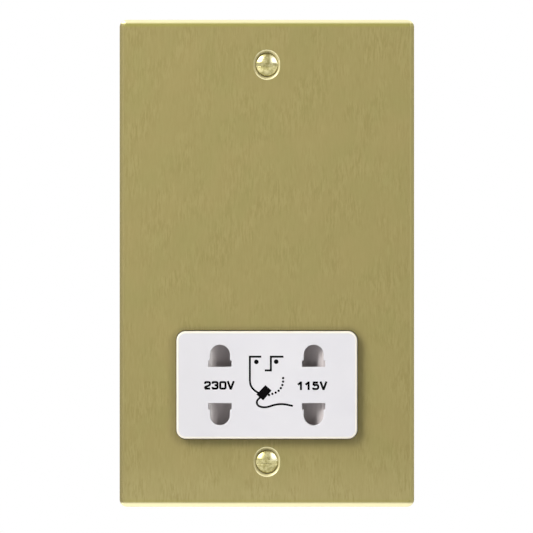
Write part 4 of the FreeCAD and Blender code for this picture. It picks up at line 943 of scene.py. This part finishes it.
STAGE_VALUES = {
    "distance": ("Camera distance", "From the camera to the plate's face", 1.0, "LENGTH"),
    "frame_width": ("Frame width", "Width in the picture at the plate's face", 0.16187, "LENGTH"),
    "middle_x": ("Middle, X", "Where the picture's middle lies on the plate", -0.00012, "LENGTH"),
    "middle_z": ("Middle, Z", "Where the picture's middle lies on the plate", -0.00097, "LENGTH"),
    "key_power": ("Key lamp", "Power of the tall lamp on the left", 15.2, "POWER"),
    "fill_power": ("Fill lamp", "Power of the tall lamp on the right", 2.7, "POWER"),
    "back_power": ("Back lamp", "Power of the lamp behind the object", 7.0, "POWER"),
    "room_light": ("Room light", "Strength of the plain light from all around", 0.02, "NONE"),
    "floor_drop": ("Floor drop", "How far the floor lies below the origin", 0.17, "LENGTH"),
}
for key, (label, about, default, unit) in STAGE_VALUES.items():
    ShaverSocketStage.__annotations__[key] = plain_value(label, about, default, unit)


class SHAVER_SOCKET_OT_faceplate(bpy.types.Operator):
    """Brushed faceplate with its threaded studs"""

    bl_idname = "shaver_socket.faceplate"
    bl_label = "Faceplate"

    def execute(self, context):
        look = context.scene.shaver_socket_look
        sizes = context.scene.shaver_socket_sizes
        finish = brushed_plate(look, sizes)
        softened("plate", "faceplate", finish, sizes.plate_edge, keep=lambda co: co.y < 1 * MM)
        points = []
        for i in range(1, 5):
            middle = middle_of(f"stud_nut_{i}")
            points.append((middle.x, 0.0, middle.z))
        values = {
            "Crest": 1.49 * MM,
            "Root": 1.2 * MM,
            "Length": PLATE_HIGH.y,
            "Neck": 1.0 * MM,
            "Tip": 0.5 * MM,
            "Pitch": sizes.stud_pitch * MM,
            "Finish": metal("stud_steel", look.zinc, look.zinc_stain, 0.3, (0.4, 3, 0.4)),
        }
        studs = grown("plate_studs", threaded_rod_tree(), points, values)
        seat(studs, "socket", slot=slot_of("faceplate"))
        return {"FINISHED"}


class SHAVER_SOCKET_OT_fixing_screws(bpy.types.Operator):
    """Oval-head fixing screws with threaded shanks"""

    bl_idname = "shaver_socket.fixing_screws"
    bl_label = "Fixing screws"

    def execute(self, context):
        look = context.scene.shaver_socket_look
        sizes = context.scene.shaver_socket_sizes
        finish = polished_screw(look)
        tree = threaded_rod_tree()
        for node in SCREW_NAMES:
            softened(node + "_head", node, finish, sizes.metal_edge, keep=lambda co: co.y < 2 * MM)
            values = {
                "Crest": 1.75 * MM,
                "Root": 1.4 * MM,
                "Length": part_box(node)[1].y - 0.3 * MM,
                "Neck": 1.5 * MM,
                "Tip": 1.0 * MM,
                "Pitch": sizes.screw_pitch * MM,
                "Finish": finish,
            }
            place = [(0.0, 0.3 * MM, middle_of(node).z)]
            shank = grown(node + "_shank", tree, place, values)
            seat(shank, "socket", slot=slot_of(node))
        return {"FINISHED"}


class SHAVER_SOCKET_OT_insert(bpy.types.Operator):
    """White socket insert"""

    bl_idname = "shaver_socket.insert"
    bl_label = "Socket insert"

    def execute(self, context):
        look = context.scene.shaver_socket_look
        sizes = context.scene.shaver_socket_sizes
        softened("insert", "socket_insert", insert_plastic(look), sizes.insert_edge, 3)
        return {"FINISHED"}


class SHAVER_SOCKET_OT_markings(bpy.types.Operator):
    """Printed voltages and the shaver symbol"""

    bl_idname = "shaver_socket.markings"
    bl_label = "Markings"

    def execute(self, context):
        sizes = context.scene.shaver_socket_sizes
        finish = printed_ink(context.scene.shaver_socket_look)
        self.word("marking_230v", "230V", (-14.45, -0.1), sizes, finish)
        self.word("marking_115v", "115V", (13.66, -0.22), sizes, finish)
        self.symbol(sizes, finish)
        return {"FINISHED"}

    def word(self, name, text, middle, sizes, finish):
        """One voltage in plain upright strokes, as wide as it is printed."""
        stroke = sizes.letter_width
        tall = sizes.word_height - stroke
        gap = stroke + 0.18
        wide = sizes.word_width - stroke - gap * (len(text) - 1)
        wide /= sum(GLYPH_WIDTHS[letter] for letter in text)
        left = middle[0] - (sizes.word_width - stroke) / 2
        shapes = []
        for letter in text:
            across = wide * GLYPH_WIDTHS[letter]
            for line, bend in GLYPHS[letter]:
                points = [(left + u * across, middle[1] + (v - 0.5) * tall) for u, v in line]
                shapes.append(ribbon(rounded_line(points, bend * across), stroke))
            left += across + gap
        self.print_shapes(name, shapes, sizes, finish)

    def symbol(self, sizes, finish):
        """The common shaver symbol: a plain face outline, half shaved, and a corded shaver."""
        width = sizes.line_width
        cheek = eased([(-5.16, 1.43), (-5.0, -0.1), (-4.0, -1.5), (-2.61, -2.37)])
        cord = [(-1.9, -3.65), (-3.2, -4.8), (-2.8, -6.4), (-0.4, -6.9)]
        cord += [(2.5, -5.9), (5.0, -5.7), (7.9, -6.35)]
        lines = [
            [(-1.7, 8.59), (-5.16, 8.59), (-5.16, 2.4)] + cheek,
            [(5.04, 8.59), (1.21, 8.59), (1.21, 4.43), (-0.64, 4.43)],
            eased(cord),
        ]
        shapes = [ribbon(line, width) for line in lines]
        shapes.append(disc(-3.19, 7.02, 0.7))
        shapes.append(disc(2.82, 7.08, 0.7))
        shapes.append(patch([(-0.46, 0.0), (1.4, -1.65), (-1.15, -4.65), (-3.2, -2.85)]))
        self.print_shapes("marking_symbol", shapes, sizes, finish)
        stubble = eased([(4.92, 2.1), (4.9, 0.2), (3.6, -2.0), (0.67, -3.01)])
        path = bpy.data.meshes.new("stubble_path")
        spots = [(x * MM, INSERT_LOW.y, INSERT_MIDDLE.z + z * MM) for x, z in stubble]
        path.from_pydata(spots, [(i, i + 1) for i in range(len(spots) - 1)], [])
        values = {
            "Count": 8,
            "Radius": 0.36 * MM,
            "Thickness": 2 * sizes.ink_depth * MM,
            "Finish": finish,
        }
        dots = grown("marking_stubble", dot_row_tree(), path, values)
        seat(dots, "socket", slot=slot_of("socket_insert"))

    def print_shapes(self, name, shapes, sizes, finish):
        """Shapes in millimetres from the insert's middle, printed on its face."""
        scaled = []
        for corners, faces in shapes:
            scaled.append(([(x * MM, INSERT_MIDDLE.z + z * MM) for x, z in corners], faces))
        mesh = flat_mesh(name, scaled, sizes.ink_depth * MM, INSERT_LOW.y)
        mesh.materials.append(finish)
        seat(added(name, mesh), "socket", slot=slot_of("socket_insert"))


class SHAVER_SOCKET_OT_shutter(bpy.types.Operator):
    """Shutter slide, its switch wiper and the fixed tracks"""

    bl_idname = "shaver_socket.shutter"
    bl_label = "Shutter"

    def execute(self, context):
        look = context.scene.shaver_socket_look
        sizes = context.scene.shaver_socket_sizes
        softened("shutter_slide", "shutter", shutter_plastic(look), 0.12, body="shutter")
        brass = metal("contact_brass", look.brass, look.brass_stain, 0.24, (2.5, 0.3, 2.5))
        softened("wiper", "switch_wiper", brass, sizes.metal_edge, body="shutter")
        for node in ("switch_rail", "switch_pads"):
            softened(node + "_stamping", node, brass, sizes.metal_edge)
        return {"FINISHED"}


class SHAVER_SOCKET_OT_springs(bpy.types.Operator):
    """Centring springs with closed ends"""

    bl_idname = "shaver_socket.springs"
    bl_label = "Centring springs"

    def execute(self, context):
        look = context.scene.shaver_socket_look
        sizes = context.scene.shaver_socket_sizes
        finish = metal("spring_steel", look.spring_steel, look.spring_stain, 0.22, (1.5, 0.3, 0.3))
        tree = coil_spring_tree()
        for side, name in ((-1, "left"), (1, "right")):
            node = "shutter_spring_" + name
            low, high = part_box(node)
            middle = middle_of(node)
            values = {
                "Length": high.x - low.x,
                "Radius": (high.z - low.z) / 2,
                "Wire": 0.35 * MM,
                "Turns": sizes.spring_turns,
                "Finish": finish,
            }
            coil = grown("coil_" + name, tree, [(low.x, middle.y, middle.z)], values)
            seat(coil, "socket", node)
            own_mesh(coil)
        return {"FINISHED"}


class SHAVER_SOCKET_OT_case(bpy.types.Operator):
    """Moulded chassis and rear cover"""

    bl_idname = "shaver_socket.case"
    bl_label = "Chassis and rear cover"

    def execute(self, context):
        look = context.scene.shaver_socket_look
        sizes = context.scene.shaver_socket_sizes
        inner = moulded("chassis_plastic", look.case_black, look.case_tint, 0.42, 0.45, 0.02)
        outer = moulded("cover_plastic", look.case_black, look.case_tint, 0.5, 0.6, 0.045)
        softened("chassis_moulding", "chassis", inner, sizes.case_edge * 0.6)
        softened("cover_moulding", "rear_cover", outer, sizes.case_edge)
        return {"FINISHED"}


class SHAVER_SOCKET_OT_transformer(bpy.types.Operator):
    """Laminated core, bobbin, windings, tapes, pins and cut-out"""

    bl_idname = "shaver_socket.transformer"
    bl_label = "Transformer"

    def execute(self, context):
        look = context.scene.shaver_socket_look
        sizes = context.scene.shaver_socket_sizes
        steel = lamination_steel(look)
        tree = lamination_tree()
        for node in ("core_e_stack", "core_i_stack"):
            low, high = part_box(node)
            values = {
                "Count": int(sizes.plate_count),
                "Front": low.y,
                "Back": high.y,
                "Gap": 0.04 * MM,
                "Finish": steel,
            }
            stack = grown(node + "_plates", tree, merged_copy(node), values)
            seat(stack, "socket", node)
        nylon = moulded("bobbin_nylon", look.nylon, look.nylon_tint, 0.38, 0.5, 0.015)
        softened("bobbin_moulding", "bobbin", nylon, 0.12)
        copper = wound_copper(look)
        tape = film_tape(look)
        tin = metal("tinned_wire", look.tin, look.tin_stain, 0.2, (0.3, 0.3, 2))
        for node in ("primary_winding", "secondary_winding"):
            dress(node, copper)
        for node in ("primary_tape", "secondary_tape"):
            softened(node + "_wrap", node, tape, 0.08)
        for node in ("primary_pins", "secondary_pins"):
            softened(node + "_wire", node, tin, 0.08)
        case = moulded("cutout_case", look.cutout, look.cutout_tint, 0.3, 0.5, 0.01)
        softened("cutout_can", "thermal_cutout", case, 0.2, 3)
        return {"FINISHED"}


class SHAVER_SOCKET_OT_terminals(bpy.types.Operator):
    """Contacts, terminals, links and the earth strap"""

    bl_idname = "shaver_socket.terminals"
    bl_label = "Contacts and terminals"

    def execute(self, context):
        look = context.scene.shaver_socket_look
        sizes = context.scene.shaver_socket_sizes
        leaf = metal("leaf_brass", look.brass, look.brass_stain, 0.2, (3, 0.4, 0.4))
        block = metal("terminal_brass", look.brass, look.brass_stain, 0.28, (0.4, 0.4, 4), 0.012)
        for node in ("contact_230v", "contact_115v", "contact_common"):
            softened(node + "_leaf", node, leaf, sizes.metal_edge)
        for name in ("line", "neutral", "earth"):
            softened(f"terminal_{name}_block", f"terminal_{name}", block, 0.18, 3)
        for node in ("line_link", "neutral_link", "earth_strap"):
            softened(node + "_strip", node, block, sizes.metal_edge)
        return {"FINISHED"}


class SHAVER_SOCKET_OT_fasteners(bpy.types.Operator):
    """Nuts, washers and machine screws"""

    bl_idname = "shaver_socket.fasteners"
    bl_label = "Fasteners"

    def execute(self, context):
        look = context.scene.shaver_socket_look
        sizes = context.scene.shaver_socket_sizes
        zinc = metal("zinc_plate", look.zinc, look.zinc_stain, 0.26, (0.5, 0.5, 0.5))
        nodes = [f"{kind}_{i}" for kind in ("core_screw", "cover_screw") for i in range(1, 5)]
        nodes += [f"terminal_screw_{name}" for name in ("line", "neutral", "earth")]
        nodes += [f"stud_washer_{i}" for i in range(1, 4)]
        for node in nodes:
            softened(node + "_turned", node, zinc, sizes.metal_edge)
        for i in range(1, 5):
            softened(f"stud_nut_{i}_turned", f"stud_nut_{i}", zinc, 0.16, 3)
        return {"FINISHED"}


class SHAVER_SOCKET_OT_leads(bpy.types.Operator):
    """Insulated leads between terminals, switch and transformer"""

    bl_idname = "shaver_socket.leads"
    bl_label = "Leads"

    def execute(self, context):
        look = context.scene.shaver_socket_look
        finishes = {}
        for node, colour in LEAD_COLOURS.items():
            if colour not in finishes:
                base = getattr(look, colour)
                shade = [channel * 0.75 for channel in base[:3]] + [1.0]
                finishes[colour] = soft_insulation(colour, base, shade)
            dress(node, finishes[colour])
        return {"FINISHED"}


class SHAVER_SOCKET_OT_stage(bpy.types.Operator):
    """Floor, plain studio light and the camera"""

    bl_idname = "shaver_socket.stage"
    bl_label = "Stage"

    def execute(self, context):
        stage = context.scene.shaver_socket_stage
        self.floor(context.scene.shaver_socket_look, stage)
        self.room(context.scene, stage.room_light)
        self.lamp("key_lamp", (-0.7, -0.52, 0.68), (0.5, 0.7), stage.key_power)
        self.lamp("fill_lamp", (0.7, -0.52, 0.5), (0.5, 0.6), stage.fill_power)
        self.lamp("back_lamp", (0.45, 0.95, 0.6), (0.8, 0.8), stage.back_power)
        self.camera(context.scene, stage)
        context.scene.view_settings.view_transform = "Standard"
        return {"FINISHED"}

    def floor(self, look, stage):
        z = -stage.floor_drop
        corners = [(-1.6, -1.6, z), (1.6, -1.6, z), (1.6, 0.85, z), (-1.6, 0.85, z)]
        mesh = bpy.data.meshes.new("floor")
        mesh.from_pydata(corners, [], [(0, 1, 2, 3)])
        mesh.materials.append(pale_floor(look))
        added("floor", mesh)

    def room(self, scene, level):
        """White to the camera, to gloss and through glass, plain light otherwise."""
        world = bpy.data.worlds.new("room")
        scene.world = world
        world.use_nodes = True
        graph = Graph(world.node_tree)
        graph.tree.nodes.clear()
        strength = seen_directly(graph) * (1 - level) + level
        values = {"Color": (1, 1, 1, 1), "Strength": strength}
        light = graph.node("ShaderNodeBackground", None, values)
        output = graph.tree.nodes.new("ShaderNodeOutputWorld")
        graph.feed(output.inputs[0], light)

    def lamp(self, name, place, size, power):
        data = bpy.data.lights.new(name, "AREA")
        data.shape = "RECTANGLE"
        data.size, data.size_y = size
        data.energy = power
        lamp = added(name, data)
        lamp.location = place
        lamp.rotation_euler = (-Vector(place)).to_track_quat("-Z", "Y").to_euler()

    def camera(self, scene, stage):
        data = bpy.data.cameras.new("camera")
        data.sensor_width = 36.0
        data.lens = data.sensor_width * stage.distance / stage.frame_width
        camera = added("camera", data)
        camera.location = (stage.middle_x, PLATE_LOW.y - stage.distance, stage.middle_z)
        camera.rotation_euler = (math.pi / 2, 0, 0)
        scene.camera = camera


OPERATORS = [
    SHAVER_SOCKET_OT_faceplate,
    SHAVER_SOCKET_OT_fixing_screws,
    SHAVER_SOCKET_OT_insert,
    SHAVER_SOCKET_OT_markings,
    SHAVER_SOCKET_OT_shutter,
    SHAVER_SOCKET_OT_springs,
    SHAVER_SOCKET_OT_case,
    SHAVER_SOCKET_OT_transformer,
    SHAVER_SOCKET_OT_terminals,
    SHAVER_SOCKET_OT_fasteners,
    SHAVER_SOCKET_OT_leads,
    SHAVER_SOCKET_OT_stage,
]


class VIEW3D_PT_shaver_socket(bpy.types.Panel):
    """The socket's pieces, sizes and colours"""

    bl_idname = "VIEW3D_PT_shaver_socket"
    bl_label = "Shaver Socket"
    bl_space_type = "VIEW_3D"
    bl_region_type = "UI"
    bl_category = "Shaver Socket"

    def draw(self, context):
        for operator in OPERATORS:
            self.layout.operator(operator.bl_idname)
        for group in GROUPS:
            values = getattr(context.scene, group)
            for name in values.bl_rna.properties.keys():
                if name not in ("rna_type", "name"):
                    self.layout.prop(values, name)


GROUPS = {
    "shaver_socket_look": ShaverSocketLook,
    "shaver_socket_sizes": ShaverSocketSizes,
    "shaver_socket_stage": ShaverSocketStage,
}


def register():
    for name, group in GROUPS.items():
        bpy.utils.register_class(group)
        setattr(bpy.types.Scene, name, bpy.props.PointerProperty(type=group))
    for operator in OPERATORS:
        bpy.utils.register_class(operator)
    bpy.utils.register_class(VIEW3D_PT_shaver_socket)


def unregister():
    bpy.utils.unregister_class(VIEW3D_PT_shaver_socket)
    for operator in reversed(OPERATORS):
        bpy.utils.unregister_class(operator)
    for name, group in GROUPS.items():
        delattr(bpy.types.Scene, name)
        bpy.utils.unregister_class(group)


def main():
    register()
    for operator in OPERATORS:
        getattr(bpy.ops.shaver_socket, operator.bl_idname.split(".")[1])()


if __name__ == "__main__":
    main()
